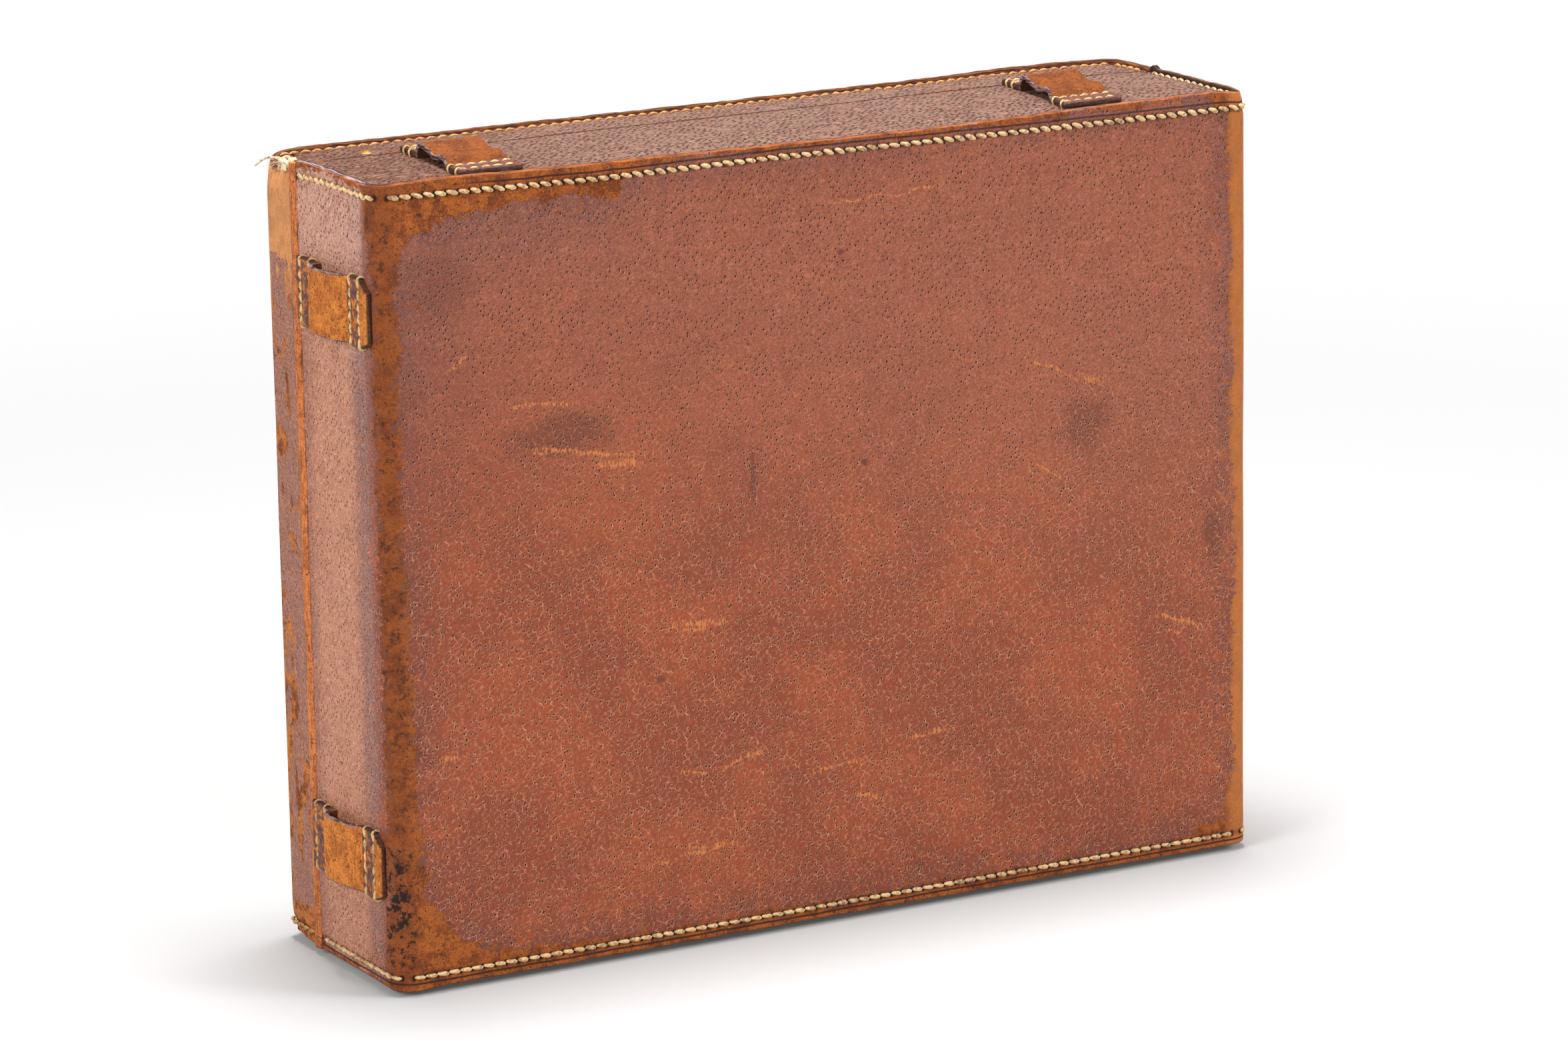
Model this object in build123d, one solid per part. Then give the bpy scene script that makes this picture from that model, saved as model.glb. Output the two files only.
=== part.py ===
"""A hand-sewn leather camera case that stands on its long narrow side.

The deep tray is the base, the shallow rear half is the lid, and both hang on one leather
fold along the left narrow side. Millimetres. +Z is up, -Y is the big face of the base,
+Y is the back of the lid, -X is the hinge side and +X is the side with the lock.
The origin is the middle of the bounding box, on the plane that the case stands on.
"""
import os

from build123d import *

# Overall size of the leather box
case_width = 317.0
case_height = 254.5
base_depth = 58.3
lid_depth = 25.3
bend_radius = 7.0
soft_bend_radius = 10.0

# Leather, boards and cloth
leather = 2.4
panel_step = 1.2
crest_chamfer = 0.5
lid_board = 1.8
frame_board = 2.2
divider_board = 4.0
cloth = 0.6

# Parting line, fold and inner lip
split_gap = 0.3
fold_width = 4.0
fold_leather = 0.9
lip_height = 7.0
lip_clearance = 0.6
lip_setback = 12.0
hinge_cloth = 0.8
hinge_cloth_reach = 10.0
hinge_cloth_margin = 1.0

# Compartments inside the base
camera_room = 188.0
divider_drop = 3.0

# Box-stitched seams
seam_inset = 4.0
seam_end = 2.0
thread = 1.0
thread_proud = 0.4

# Strap keepers: two folded tabs with an arch of leather between them
keeper_length = 22.0
keeper_tab = 3.4
keeper_strip = 1.6
keeper_crown = 7.2
front_tab = 10.5
strap_gap = 23.0
rear_tab = 15.5
keeper_row_edge = 1.9
keeper_row_pitch = 6.7
rear_row_edge = 4.0
thread_sink = 0.5
side_keeper_from_front = 4.5
side_keeper_low = 28.0
side_keeper_from_top = 28.5
end_keeper_from_front = 8.5
end_keeper_left = 36.5
end_keeper_from_right = 35.5

# Side profile of a bulging arch and of a sagging one: share of the gap, share of the rise
bulging_arch_shares = [(0.12, 0.35), (0.45, 0.78), (0.75, 1.0), (0.9, 0.9), (0.98, 0.45)]
sagging_arch_shares = [
    (0.1, 0.4), (0.26, 0.48), (0.42, 0.45), (0.6, 0.78), (0.78, 0.96), (0.9, 0.92), (0.98, 0.5),
]

# Brass stud on the lid and the loose thread end beside the fold
stud_from_hinge = 32.0
stud_behind_split = 5.2
stud_head_radius = 2.5
stud_head_height = 1.1
stud_shank_radius = 1.0
stud_burr_radius = 2.2
stud_burr_height = 0.8
fixed_clearance = 0.02
knot_radius = 2.0
knot_height = 1.5
knot_from_hinge = 2.6
knot_behind_split = 5.2

# Brass lock: plate and case in the base
lock_plate_from_split = 3.0
lock_plate_width = 22.0
lock_plate_height = 46.0
lock_plate_thickness = 1.0
lock_plate_corner = 3.0
lock_case_depth = 5.0
lock_case_wall = 0.8
lock_case_margin = 2.6
pocket_clearance = 0.1
lock_pin_radius = 0.9
lock_pin_head_radius = 1.5
lock_pin_head_height = 0.6
lock_pin_length = 4.6
lock_pin_margin = 2.4

# Sliding catch with its push button and spring
catch_travel = 3.0
catch_thickness = 2.4
catch_width = 8.0
catch_clearance = 0.2
nose_width = 2.6
nose_thickness = 1.5
nose_over = 0.6
button_below_staple = 11.5
button_stem_radius = 1.6
button_radius = 3.4
button_height = 1.8
spring_radius = 1.1
spring_wire = 0.4
spring_length = 6.0

# Hasp with its staple, hinged on the lid
hasp_thickness = 1.2
hasp_half_height = 6.5
hasp_reach = 23.0
hasp_lift = 0.15
hasp_corner = 3.0
pin_behind_split = 4.0
knuckle_radius = 1.6
knuckle_offset = 2.0
knuckle_half_height = 3.0
knuckle_gap = 0.15
knuckle_neck = 2.2
hinge_pin_radius = 0.7
running_clearance = 0.05
hasp_plate_thickness = 0.9
hasp_plate_width = 9.0
hasp_rivet_from_knuckle = 6.0
staple_from_pin = 18.0
staple_width = 5.0
staple_half_thickness = 1.0
staple_depth = 3.8
staple_bar = 1.0
eye_width = 3.2
eye_top = 0.6
slot_clearance = 0.6

# Derived places
base_board = lid_board + cloth + lip_clearance
case_depth = base_depth + lid_depth
lock_proud = max(
    lock_plate_thickness + hasp_lift + button_height,
    knuckle_offset + knuckle_radius,
)
x_left = keeper_crown - (keeper_crown + case_width + lock_proud) / 2
x_right = x_left + case_width
x_middle = (x_left + x_right) / 2
y_front = -case_depth / 2
y_back = case_depth / 2
y_split = y_front + base_depth
y_base_edge = y_split - split_gap / 2
y_lid_edge = y_split + split_gap / 2
z_low = keeper_tab - panel_step
z_high = z_low + case_height
z_middle = (z_low + z_high) / 2
z_panel_top = z_high - panel_step
z_panel_bottom = z_low + panel_step
z_boards_top = z_panel_top - leather
z_boards_bottom = z_panel_bottom + leather

# Inner faces of the boards, of the inner frame and of the cloth in the base
base_wall = leather + base_board
lid_wall = leather + lid_board
x_frame_left = x_left + base_wall
x_frame_right = x_right - base_wall
y_floor = y_front + base_wall
z_frame_top = z_boards_top - base_board
z_frame_bottom = z_boards_bottom + base_board
x_room_left = x_frame_left + cloth
x_room_right = x_frame_right - frame_board - cloth
y_room_floor = y_floor + cloth
z_room_top = z_frame_top - frame_board - cloth
z_room_bottom = z_frame_bottom + frame_board + cloth
y_lip = y_split + lip_height

# Lock places
y_pin = y_split + pin_behind_split
y_staple = y_pin - staple_from_pin
y_plate_edge = y_split - lock_plate_from_split
y_plate_far = y_plate_edge - lock_plate_width
x_plate = x_right + lock_plate_thickness
x_hasp = x_plate + hasp_lift
x_pin = x_right + knuckle_offset
z_button = z_middle - button_below_staple
z_catch_bottom = z_button - button_stem_radius - catch_travel
z_catch_top = z_middle - staple_half_thickness - catch_clearance
z_spring_foot = z_catch_bottom - spring_length


def block(x0, x1, y0, y1, z0, z1):
    """A box between two opposite corners."""
    box = Box(x1 - x0, y1 - y0, z1 - z0)
    return Pos((x0 + x1) / 2, (y0 + y1) / 2, (z0 + z1) / 2) * box


def plan(inset):
    """The outline of the case from above, drawn in by inset, with its four bends."""
    outline = Rectangle(case_width - 2 * inset, case_depth - 2 * inset)
    outline = fillet(outline.vertices().group_by(Axis.Y)[0], bend_radius - inset)
    back_left = outline.vertices().group_by(Axis.Y)[-1].sort_by(Axis.X)[0]
    outline = fillet(back_left, soft_bend_radius - inset)
    back_right = outline.vertices().group_by(Axis.Y)[-1].sort_by(Axis.X)[-1]
    return fillet(back_right, bend_radius - inset)


def core(inset, z0, z1):
    """The case's outline drawn in by inset and raised from z0 to z1."""
    return Pos(x_middle, 0, z0) * extrude(plan(inset), z1 - z0)


def ring(outer_inset, inner_inset, z0, z1):
    """The wall between two outlines of the case."""
    return core(outer_inset, z0, z1) - core(inner_inset, z0, z1)


def before(y):
    """All space in front of a plane y, to keep the base's share of a shape."""
    return block(x_left - leather, x_right + leather, y_front - leather, y, 0, z_high + leather)


def behind(y):
    """All space behind a plane y, to keep the lid's share of a shape."""
    return block(x_left - leather, x_right + leather, y, y_back + leather, 0, z_high + leather)


def one(shape):
    """The single solid of a shape that is made of one piece."""
    solids = shape.solids()
    if len(solids) != 1:
        raise ValueError(f"expected one solid and found {len(solids)}")
    return solids[0]


def group(shapes):
    """Several separate solids as one shape."""
    return Compound(children=[solid for shape in shapes for solid in shape.solids()])


def leather_shell():
    """The leather that goes round front, ends and back, with its crests bevelled."""
    body = core(0, z_low, z_high)
    crests = body.edges().group_by(Axis.Z)
    body = chamfer(crests[0] + crests[-1], crest_chamfer)
    return body - core(leather, z_low, z_high)


def wraps():
    """The base's wrap, the lid's wrap and the strip of the fold between them."""
    shell = leather_shell()
    fold_front = y_split - fold_width / 2
    fold_back = y_split + fold_width / 2
    base = shell & before(y_base_edge)
    base -= block(x_left - leather, x_middle, fold_front, y_back, 0, z_high + leather)
    lid = shell & behind(y_lid_edge)
    lid_cut = fold_back + split_gap
    lid -= block(x_left - leather, x_left + 2 * leather, y_front, lid_cut, 0, z_high + leather)
    fold = block(x_left, x_left + fold_leather, fold_front, fold_back, z_low, z_high)
    return base, lid, fold


def end_panels(share):
    """Top and bottom leather panels, set a step inside the crests."""
    top = core(leather, z_boards_top, z_panel_top) & share
    bottom = core(leather, z_panel_bottom, z_boards_bottom) & share
    return one(top), one(bottom)


def base_boards():
    """Stiffening boards of the base: front, top, bottom, hinge side and lock side."""
    inside = core(leather, z_boards_bottom, z_boards_top) & before(y_base_edge)
    front = inside & before(y_floor)
    rest = inside & block(x_left, x_right, y_floor, y_base_edge, 0, z_high)
    top = rest & block(x_left, x_right, y_floor, y_base_edge, z_frame_top, z_boards_top)
    bottom = rest & block(x_left, x_right, y_floor, y_base_edge, z_boards_bottom, z_frame_bottom)
    sides = ring(leather, base_wall, z_frame_bottom, z_frame_top)
    sides &= block(x_left, x_right, y_floor, y_base_edge, 0, z_high)
    hinge = sides & block(x_left, x_middle, y_floor, y_base_edge, 0, z_high)
    lock = sides & block(x_middle, x_right, y_floor, y_base_edge, 0, z_high)
    return front, top, bottom, hinge, lock


def lid_boards():
    """Stiffening boards of the lid: back, top, bottom, hinge side and lock side."""
    y_inner = y_back - lid_wall
    z_top = z_boards_top - lid_board
    z_bottom = z_boards_bottom + lid_board
    inside = core(leather, z_boards_bottom, z_boards_top) & behind(y_lid_edge)
    back = inside & behind(y_inner)
    between = block(x_left, x_right, y_lid_edge, y_inner, 0, z_high)
    top = inside & between & block(x_left, x_right, y_front, y_back, z_top, z_boards_top)
    bottom = inside & between & block(x_left, x_right, y_front, y_back, z_boards_bottom, z_bottom)
    sides = ring(leather, lid_wall, z_bottom, z_top) & between
    hinge = sides & block(x_left, x_middle, y_front, y_back, 0, z_high)
    lock = sides & block(x_middle, x_right, y_front, y_back, 0, z_high)
    return back, top, bottom, hinge, lock


def inner_frame():
    """Board on three sides of the base, standing past the split as the lid's lip."""
    outer = core(base_wall, z_frame_bottom, z_frame_top)
    outer &= block(x_frame_left, x_frame_right, y_floor, y_lip, 0, z_high)
    hollow = block(
        x_left, x_frame_right - frame_board, y_front, y_back,
        z_frame_bottom + frame_board, z_frame_top - frame_board,
    )
    setback = block(x_left, x_left + lip_setback, y_base_edge, y_back, 0, z_high)
    return outer - hollow - setback


def base_lining():
    """Cloth tray inside the base, as high as the lip on its three framed sides."""
    outer = core(base_wall, z_frame_bottom, z_frame_top)
    outer &= block(
        x_frame_left, x_room_right + cloth, y_floor, y_lip,
        z_room_bottom - cloth, z_room_top + cloth,
    )
    hollow = block(x_room_left, x_room_right, y_room_floor, y_back, z_room_bottom, z_room_top)
    setback = block(x_left, x_left + lip_setback, y_base_edge, y_back, 0, z_high)
    return outer - hollow - setback


def lid_lining():
    """Cloth tray inside the lid."""
    z_bottom = z_boards_bottom + lid_board
    z_top = z_boards_top - lid_board
    outer = core(lid_wall, z_bottom, z_top) & behind(y_lid_edge)
    return outer - core(lid_wall + cloth, z_bottom + cloth, z_top - cloth)


def dividers():
    """The wall beside the camera and the shelf between the two plate-holder rooms."""
    x_wall = x_room_left + camera_room
    y_edge = y_split - divider_drop
    wall = block(x_wall, x_wall + divider_board, y_room_floor, y_edge, z_room_bottom, z_room_top)
    z_shelf = z_middle - divider_board / 2
    shelf = block(
        x_wall + divider_board, x_room_right, y_room_floor, y_edge,
        z_shelf, z_shelf + divider_board,
    )
    return wall, shelf


def hinge_cloth_strip():
    """Cloth that bridges the fold on the inside."""
    return block(
        x_room_left, x_room_left + hinge_cloth,
        y_split - hinge_cloth_reach, y_split + hinge_cloth_reach,
        z_room_bottom + hinge_cloth_margin, z_room_top - hinge_cloth_margin,
    )


def seam(share, z_outer, z_inner):
    """One box-stitched seam: its run round the walls and its run on the end panel."""
    outer_run = ring(-thread_proud, 0, z_outer - thread / 2, z_outer + thread / 2)
    run_inset = seam_inset - thread / 2
    inner_run = ring(run_inset, run_inset + thread, z_inner, z_inner + thread_proud)
    return group([outer_run & share, inner_run & share])


def keeper_outline(arch):
    """A keeper's side profile, with a strip of even thickness over the strap gap."""
    rise = keeper_crown - keeper_tab
    gap_end = front_tab + strap_gap
    width = gap_end + rear_tab
    foot = gap_end - keeper_strip
    outer = [Vector(front_tab, keeper_tab)]
    outer += [Vector(front_tab + strap_gap * along, keeper_tab + rise * up) for along, up in arch]
    outer.append(Vector(gap_end, keeper_tab))
    inner = [Vector(front_tab, keeper_tab - keeper_strip)]
    for last, here, following in zip(outer, outer[1:], outer[2:]):
        along = (following - last).normalized()
        inner.append(here + Vector(along.Y, -along.X) * keeper_strip)
    inner.append(Vector(foot, keeper_tab - keeper_strip))
    edge = Polyline((front_tab, keeper_tab), (0, keeper_tab), (0, 0), (front_tab, 0), inner[0])
    foot_edge = Polyline(
        inner[-1], (foot, 0), (width, 0), (width, keeper_tab), (gap_end, keeper_tab)
    )
    return make_face(edge + Spline(*inner) + foot_edge + Spline(*reversed(outer)))


def pressed_outline():
    """A keeper's side profile where the case's weight has pressed its arch flat."""
    width = front_tab + strap_gap + rear_tab
    flat = Pos(width / 2, keeper_tab / 2) * Rectangle(width, keeper_tab)
    depth = keeper_tab - keeper_strip
    gap = Pos(front_tab + strap_gap / 2, depth / 2) * Rectangle(strap_gap, depth)
    return flat - gap


def keeper_rows(top):
    """The four rows of stitching across a keeper's tabs, up to the height top."""
    width = front_tab + strap_gap + rear_tab
    front_row = keeper_row_edge
    rear_row = width - rear_row_edge
    rows = []
    for place in (front_row, front_row + keeper_row_pitch, rear_row, rear_row - keeper_row_pitch):
        height = top - (keeper_tab - thread_sink)
        row = Rectangle(thread, height)
        rows.append(Pos(place, keeper_tab - thread_sink + height / 2) * row)
    return rows


def keeper(outline, plane, proud):
    """A keeper and its stitches, stood on a plane whose x goes across the strap."""
    grooves = [extrude(row, keeper_length) for row in keeper_rows(keeper_tab)]
    body = extrude(outline, keeper_length)
    for groove in grooves:
        body -= groove
    threads = [extrude(row, keeper_length) for row in keeper_rows(keeper_tab + proud)]
    return plane * one(body), [plane * row for row in threads]


def keepers():
    """All six keepers by name, and their stitches."""
    y_side = y_front + side_keeper_from_front
    y_end = y_front + end_keeper_from_front
    bulging = keeper_outline(bulging_arch_shares)
    sagging = keeper_outline(sagging_arch_shares)
    pressed = pressed_outline()
    made = {}
    threads = []
    z_upper = z_high - side_keeper_from_top - keeper_length
    for name, z in (("bottom", z_low + side_keeper_low), ("top", z_upper)):
        plane = Plane((x_left, y_side, z), x_dir=(0, 1, 0), z_dir=(0, 0, 1))
        body, rows = keeper(bulging, plane, thread_proud)
        made[f"hinge_side_{name}_keeper"] = body
        threads += rows
    x_far_keeper = x_right - end_keeper_from_right - keeper_length
    for name, x in (("left", x_left + end_keeper_left), ("right", x_far_keeper)):
        above = Plane((x, y_end, z_panel_top), x_dir=(0, 1, 0), z_dir=(1, 0, 0))
        body, rows = keeper(sagging, above, thread_proud)
        made[f"top_{name}_keeper"] = body
        threads += rows
        x_end = x + keeper_length
        below = Plane((x_end, y_end, z_panel_bottom), x_dir=(0, 1, 0), z_dir=(-1, 0, 0))
        body, rows = keeper(pressed, below, -fixed_clearance)
        made[f"bottom_{name}_keeper"] = body
        threads += rows
    return made, group(threads)


def upright(radius, x, y, z0, z1):
    """A cylinder along Z."""
    return Pos(x, y, (z0 + z1) / 2) * Cylinder(radius, z1 - z0)


def sideways(radius, y, z, x0, x1):
    """A cylinder along X."""
    return Pos((x0 + x1) / 2, y, z) * Rot(0, 90, 0) * Cylinder(radius, x1 - x0)


def stud_parts():
    """The domed stud, the burr under the cloth that clenches it, and the hole for both."""
    x = x_left + stud_from_hinge
    y = y_split + stud_behind_split
    z_foot = z_boards_top - lid_board
    dome_radius = (stud_head_radius**2 + stud_head_height**2) / (2 * stud_head_height)
    dome = Pos(x, y, z_panel_top + stud_head_height - dome_radius) * Sphere(dome_radius)
    above = block(x - dome_radius, x + dome_radius, y - dome_radius, y + dome_radius,
                  z_panel_top, z_high + dome_radius)
    stud = (dome & above) + upright(stud_shank_radius, x, y, z_foot, z_panel_top)
    hole = upright(stud_shank_radius + fixed_clearance, x, y, z_foot, z_panel_top)
    seat = upright(stud_burr_radius, x, y, z_foot, z_foot + stud_burr_height)
    return one(stud), one(seat - hole), hole + seat


def loose_knot():
    """The knotted thread end on the lid's corner beside the fold."""
    return upright(knot_radius, x_left + knot_from_hinge, y_split + knot_behind_split,
                   z_high, z_high + knot_height)


def lock_pins():
    """Four domed pins that hold the lock plate, and the holes they are driven into."""
    pins = []
    holes = []
    for y in (y_plate_edge - lock_pin_margin, y_plate_far + lock_pin_margin):
        reach = lock_plate_height / 2 - lock_pin_margin
        for z in (z_middle - reach, z_middle + reach):
            x_tip = x_plate - lock_pin_length
            head = sideways(lock_pin_head_radius, y, z, x_plate, x_plate + lock_pin_head_height)
            head = fillet(head.edges().group_by(Axis.X)[-1], lock_pin_head_height / 2)
            pins.append(head + sideways(lock_pin_radius, y, z, x_tip, x_plate))
            holes.append(sideways(lock_pin_radius + fixed_clearance, y, z, x_tip, x_plate))
    return group(pins), holes


def lock_case_box(grow):
    """The outer box of the lock case, grown for its pocket."""
    y_far = y_staple - staple_width / 2 - lock_case_margin
    y_near = y_staple + staple_width / 2 + lock_case_margin
    z_top = z_middle + staple_half_thickness + catch_travel + lock_case_margin
    z_foot = z_spring_foot - lock_case_wall
    return block(
        x_right - lock_case_depth - grow, x_right, y_far - grow, y_near + grow,
        z_foot - grow, z_top + grow,
    )


def lock_case():
    """A folded brass box behind the plate, open towards it."""
    outer = lock_case_box(0)
    box = outer.bounding_box()
    wall = lock_case_wall
    hollow = block(
        box.min.X + wall, box.max.X, box.min.Y + wall, box.max.Y - wall,
        box.min.Z + wall, box.max.Z - wall,
    )
    return outer - hollow


def lock_plate(holes):
    """The brass plate with the staple's slot, the button's slot and its pin holes."""
    y_centre = (y_plate_edge + y_plate_far) / 2
    face = RectangleRounded(lock_plate_width, lock_plate_height, lock_plate_corner)
    plane = Plane((x_right, y_centre, z_middle), x_dir=(0, 1, 0), z_dir=(1, 0, 0))
    plate = plane * extrude(face, lock_plate_thickness)
    slot_half = staple_width / 2 + slot_clearance
    slot_top = staple_half_thickness + slot_clearance
    plate -= block(
        x_right, x_plate, y_staple - slot_half, y_staple + slot_half,
        z_middle - slot_top, z_middle + slot_top,
    )
    stem = button_stem_radius + catch_clearance
    plate -= block(
        x_right, x_plate, y_staple - stem, y_staple + stem,
        z_button - catch_travel - stem, z_button + stem,
    )
    for hole in holes:
        plate -= hole
    return plate


def lock_catch():
    """The sliding bar whose nose holds the staple by its eye."""
    x_top = x_right - catch_clearance
    half = catch_width / 2
    body = block(x_top - catch_thickness, x_top, y_staple - half, y_staple + half,
                 z_catch_bottom, z_catch_top)
    x_nose = x_right - eye_top - (staple_depth - staple_bar - eye_top - nose_thickness) / 2
    nose = block(
        x_nose - nose_thickness, x_nose, y_staple - nose_width / 2, y_staple + nose_width / 2,
        z_catch_top, z_middle + staple_half_thickness + nose_over,
    )
    stem_hole = sideways(button_stem_radius, y_staple, z_button, x_right - lock_case_depth, x_right)
    return one(body + nose - stem_hole)


def lock_button():
    """The round push button, with a stem through the plate into the catch."""
    x_cap = x_plate + hasp_lift
    cap = sideways(button_radius, y_staple, z_button, x_cap, x_cap + button_height)
    cap = fillet(cap.edges().group_by(Axis.X)[-1], button_height / 3)
    x_foot = x_right - catch_clearance - catch_thickness
    return cap + sideways(button_stem_radius, y_staple, z_button, x_foot, x_cap)


def lock_spring():
    """The space of the coil spring under the catch, as a plain sleeve."""
    x = x_right - catch_clearance - catch_thickness / 2
    sleeve = upright(spring_radius, x, y_staple, z_spring_foot, z_catch_bottom)
    return sleeve - upright(spring_radius - spring_wire, x, y_staple, z_spring_foot, z_catch_bottom)


def hasp_plate():
    """The lid's half of the hasp hinge: a riveted plate with two knuckles."""
    y_near = y_pin + knuckle_radius + knuckle_gap + running_clearance
    y_far = y_near + hasp_plate_width
    half = hasp_half_height
    plate = block(x_right, x_right + hasp_plate_thickness, y_near, y_far,
                  z_middle - half, z_middle + half)
    low = knuckle_half_height + knuckle_gap
    for z0, z1 in ((z_middle - half, z_middle - low), (z_middle + low, z_middle + half)):
        plate += upright(knuckle_radius, x_pin, y_pin, z0, z1)
        plate += block(x_right, x_pin, y_pin, y_near, z0, z1)
    plate -= upright(hinge_pin_radius + fixed_clearance, x_pin, y_pin,
                     z_middle - half, z_middle + half)
    return one(plate)


def hasp_rivets():
    """Two rivets through the hasp plate into the lid, and their holes."""
    y = y_pin + knuckle_radius + hasp_rivet_from_knuckle
    x_face = x_right + hasp_plate_thickness
    rivets = []
    holes = []
    reach = hasp_half_height - lock_pin_margin
    for z in (z_middle - reach, z_middle + reach):
        x_tip = x_right - lid_wall
        head = sideways(lock_pin_head_radius, y, z, x_face, x_face + lock_pin_head_height)
        head = fillet(head.edges().group_by(Axis.X)[-1], lock_pin_head_height / 2)
        rivets.append(head + sideways(lock_pin_radius, y, z, x_tip, x_face))
        holes.append(sideways(lock_pin_radius + fixed_clearance, y, z, x_tip, x_face))
    return group(rivets), holes


def hasp():
    """The brass flap: centre knuckle, neck and rounded leaf over the lock plate."""
    half = knuckle_half_height
    y_leaf = y_pin - knuckle_neck
    y_end = y_pin - hasp_reach
    x_out = x_hasp + hasp_thickness
    knuckle = upright(knuckle_radius, x_pin, y_pin, z_middle - half, z_middle + half)
    neck = block(x_hasp, x_out, y_leaf, y_pin, z_middle - half, z_middle + half)
    leaf = block(x_hasp, x_out, y_end, y_leaf,
                 z_middle - hasp_half_height, z_middle + hasp_half_height)
    ends = leaf.edges().filter_by(Axis.X).group_by(Axis.Y)[0]
    leaf = fillet(ends, hasp_corner)
    hole = upright(hinge_pin_radius + running_clearance, x_pin, y_pin,
                   z_middle - half, z_middle + half)
    return one(knuckle + neck + leaf - hole)


def hasp_pin():
    """The hinge pin, held in the lid's two knuckles."""
    return upright(hinge_pin_radius, x_pin, y_pin,
                   z_middle - hasp_half_height, z_middle + hasp_half_height)


def hasp_staple():
    """The plate under the hasp whose eye the catch's nose enters."""
    half = staple_width / 2
    body = block(
        x_right - staple_depth, x_hasp, y_staple - half, y_staple + half,
        z_middle - staple_half_thickness, z_middle + staple_half_thickness,
    )
    eye = block(
        x_right - staple_depth + staple_bar, x_right - eye_top,
        y_staple - eye_width / 2, y_staple + eye_width / 2,
        z_middle - staple_half_thickness, z_middle + staple_half_thickness,
    )
    return body - eye


def build_case():
    """Every piece of the case by its name."""
    base_wrap, lid_wrap, fold = wraps()
    base_top, base_bottom = end_panels(before(y_base_edge))
    lid_top, lid_bottom = end_panels(behind(y_lid_edge))
    front_board, top_board, bottom_board, hinge_board, lock_board = base_boards()
    back_board, lid_top_board, lid_bottom_board, lid_hinge_board, lid_lock_board = lid_boards()
    camera_divider, holder_divider = dividers()
    stud, burr, stud_hole = stud_parts()
    plate_pins, pin_holes = lock_pins()
    rivets, rivet_holes = hasp_rivets()
    pocket = lock_case_box(pocket_clearance)
    for cut in [pocket] + pin_holes:
        base_wrap -= cut
        lock_board -= cut
    for cut in rivet_holes:
        lid_wrap -= cut
        lid_lock_board -= cut
    hasp_half = hasp_plate()
    for cut in rivet_holes:
        hasp_half -= cut
    seam_base = before(y_split - seam_end)
    seam_lid = behind(y_split + seam_end)
    z_row_top = z_high - seam_inset
    z_row_bottom = z_low + seam_inset
    made_keepers, keeper_threads = keepers()
    pieces = {
        "base_wrap": base_wrap,
        "base_top_panel": base_top,
        "base_bottom_panel": base_bottom,
        "base_front_board": front_board,
        "base_top_board": top_board,
        "base_bottom_board": bottom_board,
        "base_hinge_board": hinge_board,
        "base_lock_board": lock_board,
        "inner_frame": inner_frame(),
        "base_lining": base_lining(),
        "camera_divider": camera_divider,
        "holder_divider": holder_divider,
        "hinge_fold": fold,
        "hinge_cloth": hinge_cloth_strip(),
        "base_top_seam": seam(seam_base, z_row_top, z_panel_top),
        "base_bottom_seam": seam(seam_base, z_row_bottom, z_panel_bottom - thread_proud),
        "keeper_stitches": keeper_threads,
        "lock_plate": lock_plate(pin_holes),
        "lock_case": lock_case(),
        "lock_plate_pins": plate_pins,
        "lock_spring": lock_spring(),
        "lock_catch": lock_catch(),
        "lock_button": lock_button(),
        "lid_wrap": lid_wrap,
        "lid_top_panel": lid_top - stud_hole,
        "lid_bottom_panel": lid_bottom,
        "lid_back_board": back_board,
        "lid_top_board": lid_top_board - stud_hole,
        "lid_bottom_board": lid_bottom_board,
        "lid_hinge_board": lid_hinge_board,
        "lid_lock_board": lid_lock_board,
        "lid_lining": lid_lining(),
        "lid_top_seam": seam(seam_lid, z_row_top, z_panel_top),
        "lid_bottom_seam": seam(seam_lid, z_row_bottom, z_panel_bottom - thread_proud),
        "lid_stud": stud,
        "lid_stud_burr": burr,
        "loose_thread": loose_knot(),
        "hasp_plate": hasp_half,
        "hasp_rivets": rivets,
        "hasp_pin": hasp_pin(),
        "hasp": hasp(),
        "hasp_staple": hasp_staple(),
    }
    pieces.update(made_keepers)
    return pieces


os.makedirs("parts", exist_ok=True)
for node, piece in build_case().items():
    export_step(piece, f"parts/{node}.step")
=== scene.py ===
"""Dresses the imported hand-sewn camera case in worn pigskin and sets it up for a picture.

The CAD frame gives every place. New pieces are closed shells worked out with numpy: rings of
points carried along a line. Their finishes are procedural. Lengths are in metres, and the
patterns in the materials are drawn in millimetres.
"""

import math

import bmesh
import bpy
import numpy as np
from bpy.props import FloatProperty, FloatVectorProperty, PointerProperty
from bpy.types import Operator, Panel, PropertyGroup
from mathutils import Matrix, Vector


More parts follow.
